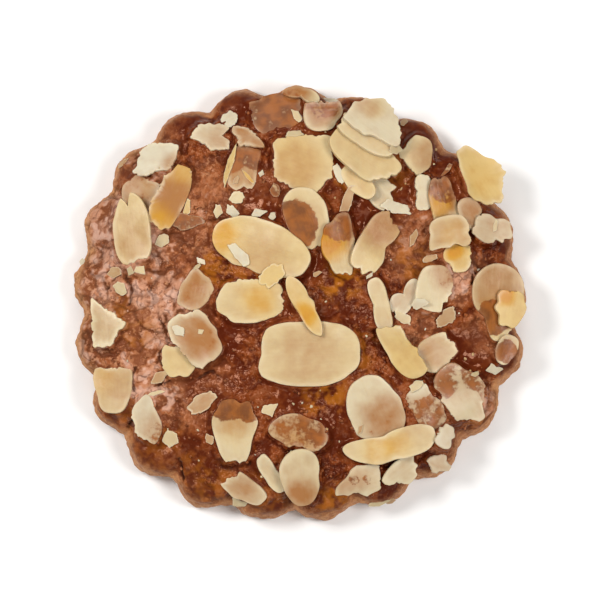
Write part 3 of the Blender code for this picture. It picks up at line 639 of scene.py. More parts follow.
crustForm = {
    "radius": 48.8, "waves": {2: 1.06, 3: 0.60, 4: -0.38},  # the slow swings, by how many to the turn
    "lobes": 21, "lobeDepth": 2.55, "firstLobe": 3.26, "valleyRound": 0.13,
    "scatter": 0.48, "scatterSeed": 348734,  # how far each lobe strays
    "side": [(1.5, 0), (0.25, 0.9), (0, 2.8), (0.3, 5.6), (1.0, 8.0), (2.3, 9.5)],  # (inset, height)
    "domeHeight": 15.0, "domePower": 2.2,
    "crease": 1.5, "creaseReach": 0.17,  # how deep each valley cuts the top's edge, and how far in
    "lumps": 0.45, "lumpLengths": [11, 16, 23, 34], "lumpSeed": 21,
    "topCells": 240, "sideRows": 26, "baseRings": (0.97, 0.86, 0.62, 0.3),
    "relief": [(6.0, 0.50), (3.0, 0.55), (1.5, 0.26)],  # (size, height) of the uneven bake
    "crumb": (2.3, 0.26),  # (size, height) of its pebbles
    "glazeLip": 0.5,  # how far the wash stands up at the top's edge
    "aroundFlake": 15,  # only dough this near to a flake's middle may touch it
    "drySeed": 71,
    # where the wash dried (its film painted partly as sheen), pooled and caramelised: (x, y, radius,
    # strength)
    "dry": [(-38, 14, 14, 1.0), (-31, -3, 13, 1.0), (-33, -17, 10, 0.85), (-45, 1, 9, 1.0),
            (-25, 14, 8, 0.6), (-20, 24, 8, 0.5), (-33, 31, 8, 0.6), (35, 5, 7, 1.0), (24, 12, 8, 0.6),
            (41, -8, 6, 0.5), (42, -24, 7, 0.7), (36, -34, 6, 0.6), (26, -6, 6, 0.6), (-27, -24, 7, 0.5),
            (-20, -18, 7, 0.3), (33, -27, 6, 0.4), (-5, 24, 6, 0.2), (-44, 21, 8, 0.9), (-37, 33, 6, 0.85),
            (-45, -9, 7, 0.9), (-43, -18, 6, 0.8), (-38, -28, 7, 0.3), (-28, -38, 9, 0.17),
            (-12, -43, 9, 0.15), (8, -45, 7, 0.15), (47, 2, 6, 0.5), (40, 25, 5, 0.4)],
    "pool": [(37, -12, 6, 1.0), (22, 24, 6, 0.9), (24, 38, 6, 0.9), (-24, -33, 7, 0.55), (-3, -20, 8, 0.7),
             (2, 37, 9, 0.6), (9, -31, 6, 0.8), (-27, 41, 7, 0.6), (42, 22, 6, 0.6), (-16, -16, 6, 0.5),
             (12, -4, 5, 0.3), (-2, -45, 8, 0.25), (5, 25, 7, 0.5), (33, 24, 5, 0.9), (4, 8, 4, 0.9),
             (4.5, -3, 4, 0.9), (-4, -1.5, 4, 0.9), (-15, -9, 5, 0.8), (-8, 21, 6, 0.8), (14, 19, 5, 0.9),
             (-14, 43, 6, 0.8), (31, 35, 6, 0.8), (-21, -22, 6, 0.7), (-32, -34, 5, 0.5), (24, 15, 5, 0.7),
             (13, -27, 5, 0.8), (-37, 30, 5, 0.6), (28, -20, 4, 0.7), (0, -38, 4, 0.7)],
    "golden": [(9, 3, 5, 1.0), (5, -20, 6, 0.8), (-18, 8, 5, 0.7), (-36, -5, 6, 0.7), (20, 28, 5, 0.9),
               (10, 28, 4, 0.8), (7, -44, 5, 0.7), (38, -27, 4, 0.6), (26, 9, 5, 0.5), (-41, -2, 5, 0.5),
               (-12, 6, 4, 0.5), (13, -12, 5, 0.5), (-24, -37, 4, 0.5), (-31, -34, 7, 0.4),
               (-20, -40, 6, 0.4), (-6, -43, 7, 0.35), (-38, -26, 6, 0.3)],
    # the lines of the cracks: (x, y) from end to end
    "cracks": [((-38, 5), (-37.2, 2), (-37.5, -1)), ((-36.5, -15), (-36.9, -17.5), (-36.5, -20)),
               ((-33, -19.4), (-31, -18.8), (-28.8, -17.9)),
               ((-17.5, -36.6), (-14, -37.1), (-10.8, -35.8)),
               ((-26.5, -35), (-25.7, -37.2), (-25.9, -39.5)), ((-37, -26.5), (-38.5, -29)),
               ((-31, -3), (-30, -6), (-31, -8.5)), ((-22, -17.2), (-19.5, -16), (-18, -16.6)),
               ((-40, 6), (-41.5, 3.5), (-43.5, 2.5)), ((-29, -10), (-30.8, -12), (-30, -14.5))],
    "crackWidth": 0.42, "crackDepth": 0.65, "plates": (7.5, 3.6),  # the sizes of crazing
    "shoulder": (9.4, 0.7),  # painted shade along the shoulder: a dark band at this height, this far up and down
}


def roundedDisc(cells):
    # a square grid pushed out to a disc, so that it has no pole: each square ring becomes a circle
    steps = np.linspace(-1, 1, cells + 1)
    u, v = np.meshgrid(steps, steps, indexing="ij")
    wide = np.abs(u) >= np.abs(v)
    reach = np.where(wide, u, v)
    turn = np.where(wide, 0.25 * math.pi * v / np.where(u == 0, 1, u),
                    0.5 * math.pi - 0.25 * math.pi * u / np.where(v == 0, 1, v))
    x, y = reach * np.cos(turn), reach * np.sin(turn)
    number = np.arange((cells + 1) ** 2).reshape(cells + 1, cells + 1)
    quads = np.stack([number[:-1, :-1], number[1:, :-1], number[1:, 1:], number[:-1, 1:]], axis=-1)
    border = np.concatenate([number[:-1, 0], number[-1, :-1], number[:0:-1, -1], number[0, :0:-1]])
    angle = np.arctan2(y, x) % (2 * math.pi)
    return np.hypot(x, y).ravel(), angle.ravel(), quads.reshape(-1, 4), border


def scallop(angle, form):
    # the body's slow swings, and what the lobes add: rounded waves, each lobe and valley a little different
    body = form["radius"] + sum(size * np.cos(times * angle) for times, size in form["waves"].items())
    count, soft = form["lobes"], form["valleyRound"]
    turns = (angle - math.radians(form["firstLobe"])) * count / (2 * math.pi)
    crest = (np.sqrt(np.cos(math.pi * turns) ** 2 + soft ** 2) - soft) / (math.sqrt(1 + soft ** 2) - soft)
    lobe, valley = np.random.default_rng(form["scatterSeed"]).uniform(-1, 1, (2, count)) * form["scatter"]
    lobes = (form["lobeDepth"] * (crest - 0.6) + lobe[np.round(turns).astype(int) % count] * crest ** 2
             + valley[np.floor(turns).astype(int) % count] * (1 - crest) ** 2)
    return body, lobes, crest


def swells(x, y, form):
    # low swells of the top: crossing sine waves of a few lengths
    rng = np.random.default_rng(form["lumpSeed"])
    total = np.zeros_like(x)
    for length in np.repeat(form["lumpLengths"], 2):
        heading, phase = rng.uniform(0, 2 * math.pi, 2)
        total += np.sin(2 * math.pi * (x * math.cos(heading) + y * math.sin(heading)) / length + phase)
    return form["lumps"] * total / math.sqrt(2 * len(form["lumpLengths"]))


def patchField(points, patches, seed):
    # round patches of the top (x, y, radius, strength), their edges pushed about by noise
    warped = pushed(points, 3.0, 7, seed, seed + 5)
    field = np.zeros(len(points))
    for x, y, radius, strength in patches:
        away = np.hypot(warped[:, 0] - x, warped[:, 1] - y)
        field = np.maximum(field, strength * smoothStep(1.15, 0.45, away / radius))
    return field


def crackField(points, cracks, width, seed):
    # 1 along each crack's line and 0 beyond its width, the line wandering with noise
    flat = pushed(points, 0.7, 2.2, seed, seed + 9)
    field = np.zeros(len(points))
    for line in cracks:
        for start, end in zip(line, line[1:]):
            start, step = np.array(start), np.array(end) - np.array(start)
            along = np.clip((flat - start) @ step / (step @ step), 0, 1)
            away = np.linalg.norm(flat - start - along[:, None] * step, axis=1)
            field = np.maximum(field, smoothStep(width, width * 0.3, away))
    return field * smoothStep(-0.5, 0.1, roughNoise(points, 1.8, seed + 3))


def insideRim(points, flake):
    # how far inside the flake's rim each point is, its share of the way out, and the face's height there
    offset = points - flake["middle"]
    offset[:, 2] = -(offset[:, :2] @ flake["normal"][:2]) / flake["normal"][2]
    a, b = offset @ flake["along"], offset @ flake["across"]
    rim, away = flake["fineRim"], np.hypot(a, b)
    heading = np.arctan2(rim[:, 1], rim[:, 0])
    order = np.argsort(heading)
    reach = np.interp(np.arctan2(b, a), heading[order], np.hypot(*rim[order].T), period=2 * math.pi)
    return reach - away, np.clip(away / reach, 0, 1), flake["middle"][2] + offset[:, 2]


def settleUnderFlakes(points, flakes, form):
    # the dough swells up under a flake that lies high, rises to meet one just above it, stays under its
    # faces, and where the flake sank into wet glaze it laps up to the flake's upper edge; it also returns
    # a painted shadow for the dough round each flake's rim
    height = points[:, 2].copy()
    for flake in flakes:
        if "mound" in flake["look"]:
            height += flake["look"]["mound"] * smoothStep(-4.5, 1.5, insideRim(points, flake)[0])
    ceiling = np.full(len(points), 99.0)
    pull = np.zeros(len(points))
    lap = np.full(len(points), -99.0)
    lapShare = np.zeros(len(points))
    shade = np.zeros(len(points))
    for flake in flakes:
        near = np.flatnonzero(np.abs(points[:, :2] - flake["middle"][:2]).max(axis=1) < form["aroundFlake"])
        inside, share, face = insideRim(points[near], flake)
        face -= flake["cup"] * (1 - share ** 2)
        under = face - flake["look"].get("thickness", flakeForm["thickness"]) / flake["normal"][2]
        gap = under - height[near]
        embed = flake["look"].get("embed", 0.3)
        meets = smoothStep(0.15, 1.5, inside) * smoothStep(2.8, 1.6, gap)
        lower = (under < ceiling[near]) & (inside > 0.1)
        limit = under - 0.03 + embed * 0.5 * smoothStep(1.2, 0.2, inside)
        ceiling[near] = np.where(lower, limit, ceiling[near])
        pull[near] = np.where(lower, meets, pull[near])
        # painted shadow: dough just outside the rim, where the gap under the flake is small, is marked
        # dark, less where the flake sank into the glaze
        dark = smoothStep(-1.1, 0.1, inside) * smoothStep(3, 1, gap) * (1 - 0.7 * embed)
        shade[near] = np.maximum(shade[near], dark)
        rise = smoothStep(-1.5, -0.05, inside) * smoothStep(2.4, 1.3, gap)
        better = rise > lapShare[near]
        lap[near] = np.where(better, under + flakeForm["thickness"] * (0.25 + 0.5 * embed), lap[near])
        lapShare[near] = np.where(better, rise, lapShare[near])
    height = np.where(lapShare > 0, np.maximum(height, height + (lap - height) * lapShare), height)
    height = np.where(pull > 0, height + (ceiling - height) * pull * (height < ceiling), height)
    return np.minimum(height, ceiling), shade * smoothStep(-0.7, 0.3, roughNoise(points, 4, 67))


def shapeCrust(form):
    # the domed top with its creases, and the scalloped side and the base hung on its border
    ring, angle, quads, border = roundedDisc(form["topCells"])
    body, lobes, crest = scallop(angle, form)
    share = 1 - ring
    inset, edgeHeight = form["side"][-1]
    fade = np.maximum(0, 1 - share / form["creaseReach"])
    radius = (body - inset) * ring + lobes * 0.75 * fade
    top = np.stack([radius * np.cos(angle), radius * np.sin(angle),
                    edgeHeight + (form["domeHeight"] - edgeHeight) * (1 - ring ** form["domePower"])
                    - form["crease"] * (1 - crest) ** 2 * fade], axis=1)
    top[:, 2] += swells(top[:, 0], top[:, 1], form) * smoothStep(0, 0.12, share)
    top[:, 2] += form["glazeLip"] * (1 - np.exp(-share / 0.03))

    # the side: each ring's inset and height on a smooth curve through the profile's points, with one more
    # point past each end
    knots = np.array([(3.2, -0.9)] + form["side"] + [(4.2, 10.9)], float)
    steps = np.linspace(len(form["side"]) - 1, 0, form["sideRows"] + 1)[1:]
    first = np.minimum(np.floor(steps).astype(int), len(form["side"]) - 2)
    profile = smoothCurve(*(knots[first + i] for i in range(4)), (steps - first)[:, None])
    around = angle[border]
    body, lobes, crest = body[border], lobes[border], crest[border]
    inset, height = profile[:, :1], profile[:, 1:]
    radius = body + lobes * (1 - 0.25 * inset / form["side"][-1][0]) - inset
    crease = form["crease"] * (1 - crest) ** 2 * smoothStep(0, 1, height / edgeHeight * 2 - 1)
    side = np.stack([radius * np.cos(around), radius * np.sin(around), height - crease], axis=-1)
    side = side.reshape(-1, 3)
    base = np.concatenate([side[-len(border):] * (share, share, 0) for share in form["baseRings"]])
    points = np.concatenate([top, side, base, [[0, 0, 0]]])

    count = len(border)
    strip = ringFaces(form["sideRows"] + len(form["baseRings"]), count, len(top))[:, ::-1]
    joint = np.stack([border, len(top) + np.arange(count), len(top) + (np.arange(count) + 1) % count,
                      np.roll(border, -1)], axis=-1)
    last = len(points) - 1 - count + np.arange(count)
    cap = np.stack([last, np.full(count, len(points) - 1), np.roll(last, -1)], axis=-1)
    return points, [quads, joint, strip, cap], len(top), len(top) + len(side), share


def finishCrust(form):
    # the form moved over its CAD body, its patches, its relief, and what the flakes do to it
    points, faces, topEnd, sideEnd, topShare = shapeCrust(form)
    box = np.array(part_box("crust")) / mm
    middle = 0.5 * (points.min(axis=0) + points.max(axis=0))
    points[:, :2] += (0.5 * (box[0] + box[1]) - middle)[:2]

    isTop = np.arange(len(points)) < topEnd
    topness = np.where(isTop, 1.0, smoothStep(1.5, 7.0, points[:, 2]))
    dry = patchField(points, form["dry"], form["drySeed"]) * topness
    pool = patchField(points, form["pool"], 83) * topness * (1 - 0.8 * dry)
    golden = patchField(points, form["golden"], 97) * topness
    crack = crackField(points, form["cracks"], form["crackWidth"], 41) * isTop
    # the dry film crazed into plates, large ones here and there and small ones nearly everywhere
    large, small = form["plates"]
    between = cellNoise(pushed(points, 2.5, 6, 11, 12, 13), large, 13)[1]
    crazed = smoothStep(0.55, 0.15, between) * smoothStep(0.35, 0.8, dry)
    crazed = crazed * (roughNoise(points, 9, 19) > 0.0)
    crack = np.maximum(crack, 0.6 * crazed)
    between = cellNoise(pushed(points, 1.2, 2.5, 15, 16, 17), small, 17)[1]
    crazed = smoothStep(0.45, 0.1, between) * smoothStep(0.3, 0.7, dry)
    crazed = crazed * smoothStep(-0.25, 0.3, roughNoise(points, 5, 27))
    crack = np.maximum(crack, 0.5 * crazed)

    # the height of the bake over the plain form: uneven, pebbled with crumb, calmer under pooled glaze
    uneven = sum(height * roughNoise(points, size, 51 + i, 2)
                 for i, (size, height) in enumerate(form["relief"]))
    size, height = form["crumb"]
    near, _, own = cellNoise(points, size, 61)
    pebbles = height * (smoothStep(0.9, 0.0, near / size) * 2 - 1) * (0.4 + 0.9 * own)
    lift = uneven * (1 - 0.45 * pool) + pebbles * (1 - 0.75 * pool) - form["crackDepth"] * crack
    floorFade = smoothStep(0.0, 1.2, points[:, 2])
    atBase = np.arange(len(points)) >= sideEnd
    normals = vertexNormals(points, faces)
    inner = np.concatenate([topShare, np.zeros(len(points) - topEnd)])
    points += normals * (lift * floorFade * (0.75 + 0.25 * smoothStep(0.0, 0.09, inner)))[:, None]
    points[:, 2] = np.maximum(points[:, 2], 0)
    points[atBase, 2] = 0
    points[:topEnd, 2], shade = settleUnderFlakes(points[:topEnd], flakes, form)
    shade = np.concatenate([shade, np.zeros(len(points) - topEnd)])

    height = points[:, 2] + 1.1 * roughNoise(points, 5, 29)
    side = np.where(isTop, 0.0, smoothStep(9.3, 6.0, height))
    # painted shade: a dark band round the shoulder, weaker on the dry film, added to the shade mask
    level, width = form["shoulder"]
    shoulderShade = 0.5 * np.exp(-((height - level) / width) ** 2) * (inner < 0.08)
    shade = np.maximum(shade, shoulderShade * (1 - 0.8 * dry))
    shade *= 0.55 + 0.45 * roughNoise(points, 4, 23)
    slope = np.where(isTop, smoothStep(0.03, 0, inner), 1.0)
    masks = dict(dry=dry, pool=pool, golden=golden, crack=crack, side=side, slope=slope,
                 rise=np.where(atBase, 0, np.clip(lift / 0.45, -1, 1)), shade=np.clip(shade, 0, 1))
    makePiece("bakedCrust", points, faces, crustMaterial, masks, ("crust",))
    return points, faces


crustPoints, crustFaces = finishCrust(crustForm)
print(f"crust made, {sum(len(block) * (block.shape[1] - 2) for block in crustFaces)} triangles")


def grainOf(points, lengthwise):
    # where the streaks are read: the points squeezed together along the nut
    return (points - np.outer(points @ lengthwise, lengthwise) * 0.9) * mm


def plainMasks(look, count):
    # the looks that a whole piece has, the same at each of its points
    return {name: np.full(count, float(look.get(name, 0))) for name in ("warm", "tan", "gold", "soak")}


def flakeMasks(flake, points, fromEdge, broken):
    # each look's strength over the face: the whole flake's own, its middle's, and its patches'
    look = flake["look"]
    wavy = pushed(points, 0.9, 3.5, 5, 6)
    masks = plainMasks(look, len(points))
    depth = fromEdge + 0.9 * roughNoise(points, 2.4, 7)
    masks["tan"] += look.get("core", 0.14) * smoothStep(0.5, 1.9, depth)
    span = flake["high"] - flake["low"]
    for name, across, up, size, strength in look.get("patches", ()):
        away = np.hypot(*(wavy - flake["low"][:2] - (across, up) * span[:2]).T)
        away /= 0.6 * size * (span[0] + span[1])
        edge = (1.15, 0.7) if name == "soak" else (1.35, 0.35)  # soaked patches end more sharply
        masks[name] += strength * smoothStep(*edge, away)
        if name == "gold":
            masks["warm"] += 0.2 * smoothStep(1.8, 0.6, away)
    masks = {name: np.clip(values, 0, 1) for name, values in masks.items()}
    # rim: the paler edge, partly the cut face and partly a painted highlight
    masks["rim"] = smoothStep(1.3, 0.1, fromEdge) * (0.75 + 0.25 * broken) * (1 - 0.9 * masks["soak"])
    masks["rim"] *= smoothStep(-0.35, 0.35, roughNoise(points, 6, 9))
    spread = np.linalg.svd(flake["rim"] - flake["rim"].mean(axis=0), full_matrices=False)[2][0]
    masks["grain"] = grainOf(points, flake["along"] * spread[0] + flake["across"] * spread[1])
    return masks


def makeFlake(flake, form, seed):
    # rings from the sunk middle out to the rim, then the edge's profile all round, and back underneath
    rim = flake["fineRim"]
    reach = np.hypot(rim[:, 0], rim[:, 1])
    thickness = flake["look"].get("thickness", form["thickness"])
    rows = [(rim * share, np.full(len(rim), share), np.zeros(len(rim))) for share in form["topRows"]]
    for inward, drop in form["edge"]:
        scale = 1 - inward / reach
        rows.append((rim * scale[:, None], scale, np.full(len(rim), drop * thickness)))
    for share in form["underRows"]:
        rows.append((rim * share, np.full(len(rim), share), np.full(len(rim), -thickness)))
    flat = np.concatenate([[[0, 0]]] + [row[0] for row in rows] + [[[0, 0]]])
    share = np.concatenate([[0]] + [row[1] for row in rows] + [[0]])
    drop = np.concatenate([[0]] + [row[2] for row in rows] + [[-thickness]])
    lift = drop - flake["cup"] * (1 - share ** 2)
    lift += form["swell"] * softNoise(np.column_stack([flat, np.full(len(flat), seed)]), 4.5, seed)
    points = (flake["middle"] + flat[:, :1] * flake["along"] + flat[:, 1:] * flake["across"]
              + lift[:, None] * flake["normal"])
    faces = shellFaces(len(rows), len(rim))
    everyRim = np.tile(reach, len(rows))
    fromEdge = np.concatenate([[reach.min()], everyRim * (1 - share[1:-1]), [reach.min()]])
    broken = np.concatenate([[0], np.tile(flake["broken"], len(rows)), [0]])
    masks = flakeMasks(flake, points, fromEdge, broken)
    makePiece(flake["name"].replace("flake", "almondFlake"), points, faces, almondMaterial, masks,
              (flake["name"],), crease=38)
    return points, faces


flakeMeshes = [makeFlake(flake, flakeForm, 500 + i) for i, flake in enumerate(flakes)]
print("flakes made")

# Splinters and broken corners of the flakes: (x, y, length, width, turn, look), in millimetres and degrees.
# Those marked low lie on the dough, partly under a flake; the others lie on whatever is there.
shardList = [
    (-39.3, 30.7, 3.0, 1.0, 50, "tan", "low"), (-24.7, 20.0, 4.2, 1.6, 75, "yellow"),
    (-24.7, 17.2, 7.4, 4.0, 8, "wet"), (-18.0, 19.3, 3.0, 2.0, 80, "cream"),
    (-15.5, 40.0, 4.0, 3.7, 20, "white"), (-0.8, 40.8, 3.2, 1.5, 120, "cream"),
    (-1.3, 36.6, 4.0, 1.6, 10, "cream"), (-15.4, 29.9, 10.2, 1.5, 73, "yellow"),
    (-11.5, 27.0, 4.3, 0.9, -48, "golden"), (-8.5, 27.8, 1.8, 1.3, 70, "white"),
    (-13.8, 22.3, 3.6, 3.2, 30, "cream"), (-5.5, 24.0, 3.2, 2.3, 100, "wet"),
    (-15.0, 19.3, 3.7, 2.2, -50, "white"), (-9.0, 19.0, 3.5, 2.0, 15, "white"),
    (-6.0, 18.2, 1.9, 1.5, 60, "white"), (-13.2, 9.7, 6.6, 2.6, -50, "white"),
    (-6.1, 5.1, 6.4, 4.6, 35, "yellow"), (8.6, 27.5, 4.8, 1.9, -70, "white", "low"),
    (10.5, 22.0, 6.2, 2.3, 75, "tan"), (21.0, 20.2, 7.0, 2.8, -10, "white"),
    (21.0, 32.8, 3.2, 2.0, 5, "cream"), (32.3, 28.5, 4.2, 1.0, 55, "wet"),
    (26.0, -1.0, 3.6, 2.4, 20, "white"), (22.5, -4.2, 4.3, 2.2, -25, "cream"),
    (32.0, -4.0, 5.0, 3.4, 25, "tan"), (42.8, -15.3, 3.2, 2.4, -30, "white"),
    (-39.5, 2.5, 3.5, 2.7, -40, "cream"), (-41.0, 6.0, 3.2, 2.3, 20, "tan"),
    (-35.3, 6.2, 2.4, 2.0, 10, "cream"), (-37.2, 6.1, 2.0, 1.8, 70, "cream"),
    (-30.8, -17.0, 5.0, 2.4, 45, "tan"), (-30.3, 13.0, 3.6, 2.6, 25, "cream"),
    (-21.8, 8.3, 2.6, 1.3, -30, "white"), (-22.5, 7.1, 1.9, 1.0, 40, "cream"),
    (-31.6, -20.6, 4.0, 0.9, 15, "cream"), (-21.4, -22.6, 6.4, 3.8, 35, "tan"),
    (-28.5, -30.6, 4.0, 3.3, 95, "cream"), (-19.8, -30.7, 2.8, 2.0, -60, "tan"),
    (-6.5, -24.5, 3.8, 2.8, 10, "cream"), (-13.3, -44.6, 3.6, 1.8, -10, "cream", "low"),
    (17.3, -44.7, 5.5, 1.2, 12, "cream", "low"), (-48.3, 8.5, 2.4, 1.3, 80, "white", "low"),
    (6.8, 44.7, 3.6, 1.3, -10, "white", "low"), (3.7, 5.5, 2.2, 1.1, 30, "tan"),
    (15.3, 5.0, 2.2, 0.8, 40, "white"), (23.0, 39.6, 2.0, 1.3, 40, "tan", "low"),
    (-26.6, -7.0, 3.5, 2.4, -40, "white"), (-21.7, -7.3, 1.3, 1.1, 0, "cream"),
    (24.9, 13.5, 4.0, 1.5, 70, "tan"), (43.0, 16.4, 3.0, 1.0, 80, "cream"),
    (28.5, 9.0, 3.4, 1.8, 20, "tan"), (25.5, -19.0, 3.4, 2.0, 30, "cream"),
    (38.3, -16.5, 2.0, 1.2, 10, "cream"), (20.0, -44.2, 2.4, 1.1, 20, "tan", "low"),
    (-14.0, 26.2, 2.0, 1.2, 60, "tan"), (13.2, -28.6, 2.6, 1.0, 70, "tan"),
]
shardLooks = {
    "white": dict(warm=0.15), "cream": dict(warm=0.45), "yellow": dict(warm=0.9, gold=0.1),
    "tan": dict(warm=0.4, tan=0.6), "golden": dict(warm=0.8, gold=0.55),
    "wet": dict(warm=0.4, tan=0.6, soak=0.6),
}
shardForm = {
    "rimSteps": 60, "thickness": 0.6, "maxLean": 1.0, "sunk": 0.12,
    "corners": (4, 7), "uneven": (0.72, 1.0), "rough": 0.11,
    "bearing": 70,  # it rests at this percentile of the ground's heights under it
}

crumbForm = {
    "almond": dict(count=22, size=(0.3, 0.7), seed=9), "dough": dict(count=260, size=(0.4, 1.1), seed=4),
    "within": 46.5,  # the circle they fall in
    "sparkles": [(0.5, -22.8), (-1.5, -23), (2.5, -23.6), (-9.2, -23.7), (36.3, -13), (38, -12),
                 (37.3, -15.7), (22.3, 24.4), (7.7, 22.3), (-22.2, -35.3), (-22.4, -28.7), (-31, 29),
                 (-24, 28), (30, 33.5)],
    "sparkleSize": 0.75,  # larger almond crumbs, at places of their own
    "ringSteps": 7, "rings": 4,
    "uneven": (0.65, 1.15), "narrowest": (0.7, 0.6, 0.45), "widest": (1.25, 1.0, 0.75),
    "raised": 0.12,  # how far its middle lies above the ground, as a share of its size
}

treeOfCrust = treeOf(crustPoints, crustFaces)
allTrees = [treeOfCrust] + [treeOf(points, faces) for points, faces in flakeMeshes]


def landing(trees, x, y):
    # the highest surface at a place: its height and whether that is dough, or None off the edge
    best = None
    for number, tree in enumerate(trees):
        hit = tree.ray_cast(Vector((x, y, 40)), Vector((0, 0, -1)))[0]
        if hit is not None and (best is None or hit.z > best[0]):
            best = (hit.z, number == 0)
    return best


def shardMesh(entry, form, seed):
    # a plate with a few corners: its reach in each direction is that of an uneven polygon, roughened
    x, y, length, width, turn, look = entry[:6]
    rng = np.random.default_rng(seed)
    count = form["rimSteps"]
    heading = np.arange(count) * 2 * math.pi / count
    sides = rng.integers(*form["corners"])
    facing = np.arange(sides) * 2 * math.pi / sides + rng.uniform(-0.35, 0.35, sides)
    facing = facing + rng.uniform(0, 2 * math.pi)
    towards = np.cos(heading[:, None] - facing)
    reach = (rng.uniform(*form["uneven"], sides) / np.maximum(towards, 0.05)).min(axis=1)
    flat = np.stack([reach * np.cos(heading), reach * np.sin(heading)], axis=1)
    flat -= 0.5 * (flat.max(axis=0) + flat.min(axis=0))
    flat *= np.array([length, width]) / np.ptp(flat, axis=0)
    rim = np.column_stack([flat, np.full(count, seed)])
    flat *= 1 + form["rough"] * (softNoise(rim, 0.8, seed) + 0.7 * softNoise(rim, 0.35, seed + 1))[:, None]
    turn = math.radians(turn)
    flat = flat @ np.array([[math.cos(turn), math.sin(turn)], [-math.sin(turn), math.cos(turn)]])

    trees = [treeOfCrust] if entry[-1] == "low" else allTrees
    probes = np.concatenate([[[0, 0]], flat[::4] * 0.9, flat[::6] * 0.45]) + (x, y)
    ground = [(px, py, found[0]) for px, py in probes.tolist() if (found := landing(trees, px, py))]
    offset, ground = np.array(ground)[:, :2] - (x, y), np.array(ground)[:, 2]
    slopes = np.zeros(2)
    if len(ground) > 4:
        # it leans with the plane that fits the ground best
        fit = np.linalg.lstsq(np.column_stack([offset, np.ones(len(ground))]), ground, rcond=None)[0]
        slopes = fit[:2] * min(1, form["maxLean"] / max(np.hypot(*fit[:2]), 1e-6))
    base = np.percentile(ground - offset @ slopes, form["bearing"]) - form["sunk"]
    thick = form["thickness"] * min(1, 0.55 + 0.12 * width)

    rows = [(0.45, thick), (0.8, thick), (0.97, thick * 0.97), (1.0, thick * 0.8),
            (1.0, 0.1), (0.9, 0.0), (0.4, 0.0)]  # (share of the rim's reach, height)
    plan = np.concatenate([[[0, 0]]] + [flat * share for share, up in rows] + [[[0, 0]]])
    lift = np.concatenate([[thick]] + [np.full(count, up) for share, up in rows] + [[0.0]])
    points = np.column_stack([plan + (x, y), base + plan @ slopes + lift])
    masks = plainMasks(shardLooks[look], len(points))
    # rim: the paler edge, partly the cut face and partly a painted highlight
    onRim = [np.full(count, float(share > 0.9)) for share, up in rows]
    masks["rim"] = np.concatenate([[0]] + onRim + [[0]]) * (1 - masks["soak"])
    masks["grain"] = grainOf(points, np.array([math.cos(turn), math.sin(turn), 0]))
    return points, shellFaces(len(rows), count), masks


def joinMeshes(meshes):
    # one mesh of them all, each one's faces counted on from the points before it
    allPoints, allFaces, allMasks = zip(*meshes)
    starts = np.cumsum([0] + [len(points) for points in allPoints])
    faces = [block + start for start, blocks in zip(starts, allFaces) for block in blocks]
    masks = {name: np.concatenate([masks[name] for masks in allMasks]) for name in allMasks[0]}
    return np.concatenate(allPoints), faces, masks


shards = [shardMesh(entry, shardForm, 900 + i) for i, entry in enumerate(shardList)]
points, faces, masks = joinMeshes(shards)
makePiece("almondSplinters", points, faces, almondMaterial, masks, crease=38)
print(f"{len(shards)} splinters laid")


def crumbs(places, sizes, form, seed):
    # lumps: rings of a ball, each direction's reach uneven, flattened a little and turned any way
    rng = np.random.default_rng(seed)
    around = np.arange(form["ringSteps"]) * 2 * math.pi / form["ringSteps"]
    down = ((np.arange(form["rings"]) + 0.5) / form["rings"] * math.pi)[:, None]
    ball = np.stack([np.sin(down) * np.cos(around), np.sin(down) * np.sin(around),
                     np.cos(down) + 0 * around], axis=-1)
    ball = np.concatenate([[[0, 0, 1]], ball.reshape(-1, 3), [[0, 0, -1]]])
    reach = 0.5 * sizes[:, None] * rng.uniform(*form["uneven"], (len(places), len(ball)))
    stretch = rng.uniform(form["narrowest"], form["widest"], (len(places), 3))
    shape = ball * reach[..., None] * stretch[:, None]
    spin = rng.uniform(0, 2 * math.pi, len(places))
    x = shape[..., 0] * np.cos(spin)[:, None] - shape[..., 1] * np.sin(spin)[:, None]
    y = shape[..., 0] * np.sin(spin)[:, None] + shape[..., 1] * np.cos(spin)[:, None]
    points = (np.stack([x, y, shape[..., 2]], axis=-1) + places[:, None]).reshape(-1, 3)
    shift = (np.arange(len(places)) * len(ball))[:, None, None]
    one = shellFaces(form["rings"], form["ringSteps"])
    return points, [(block + shift).reshape(-1, block.shape[1]) for block in one], len(ball)


def scatter(settings, form, chosen=()):
    # random places inside the rim, kept where they land on dough, after the chosen ones
    rng = np.random.default_rng(settings["seed"])
    tries = 4 * settings["count"]
    angle = rng.uniform(0, 2 * math.pi, tries)
    reach = form["within"] * np.sqrt(rng.uniform(0, 1, tries))
    places = [*chosen, *zip(reach * np.cos(angle), reach * np.sin(angle))]
    found = []
    for number, (x, y) in enumerate(places):
        ground = landing(allTrees, x, y)
        if ground and (ground[1] or number < len(chosen)):
            found.append((x, y, ground[0]))
    found = np.array(found[:settings["count"] + len(chosen)])
    sizes = rng.uniform(*settings["size"], len(found))
    found[:, 2] += sizes * form["raised"]
    return found, sizes


places, sizes = scatter(crumbForm["almond"], crumbForm, crumbForm["sparkles"])
sizes[:len(crumbForm["sparkles"])] = crumbForm["sparkleSize"]
points, faces, each = crumbs(places, sizes, crumbForm, 31)
bits = np.repeat(np.random.default_rng(32).uniform(0, 1, len(places)), each)
masks = dict.fromkeys(("gold", "soak", "rim"), 0 * bits)
masks.update(warm=bits * 0.8, tan=0.5 * (bits > 0.6), grain=points * mm)
makePiece("almondCrumbs", points, faces, almondMaterial, masks, crease=38)

places, sizes = scatter(crumbForm["dough"], crumbForm)
points, faces, each = crumbs(places, sizes, crumbForm, 33)
dryHere = np.repeat(patchField(places, crustForm["dry"], crustForm["drySeed"]), each)
masks = dict.fromkeys(("pool", "golden", "crack", "side", "shade"), 0 * dryHere)
masks.update(dry=0.3 + 0.6 * dryHere, rise=0.2 + 0 * dryHere)
makePiece("doughCrumbs", points, faces, crustMaterial, masks)
print("crumbs scattered")

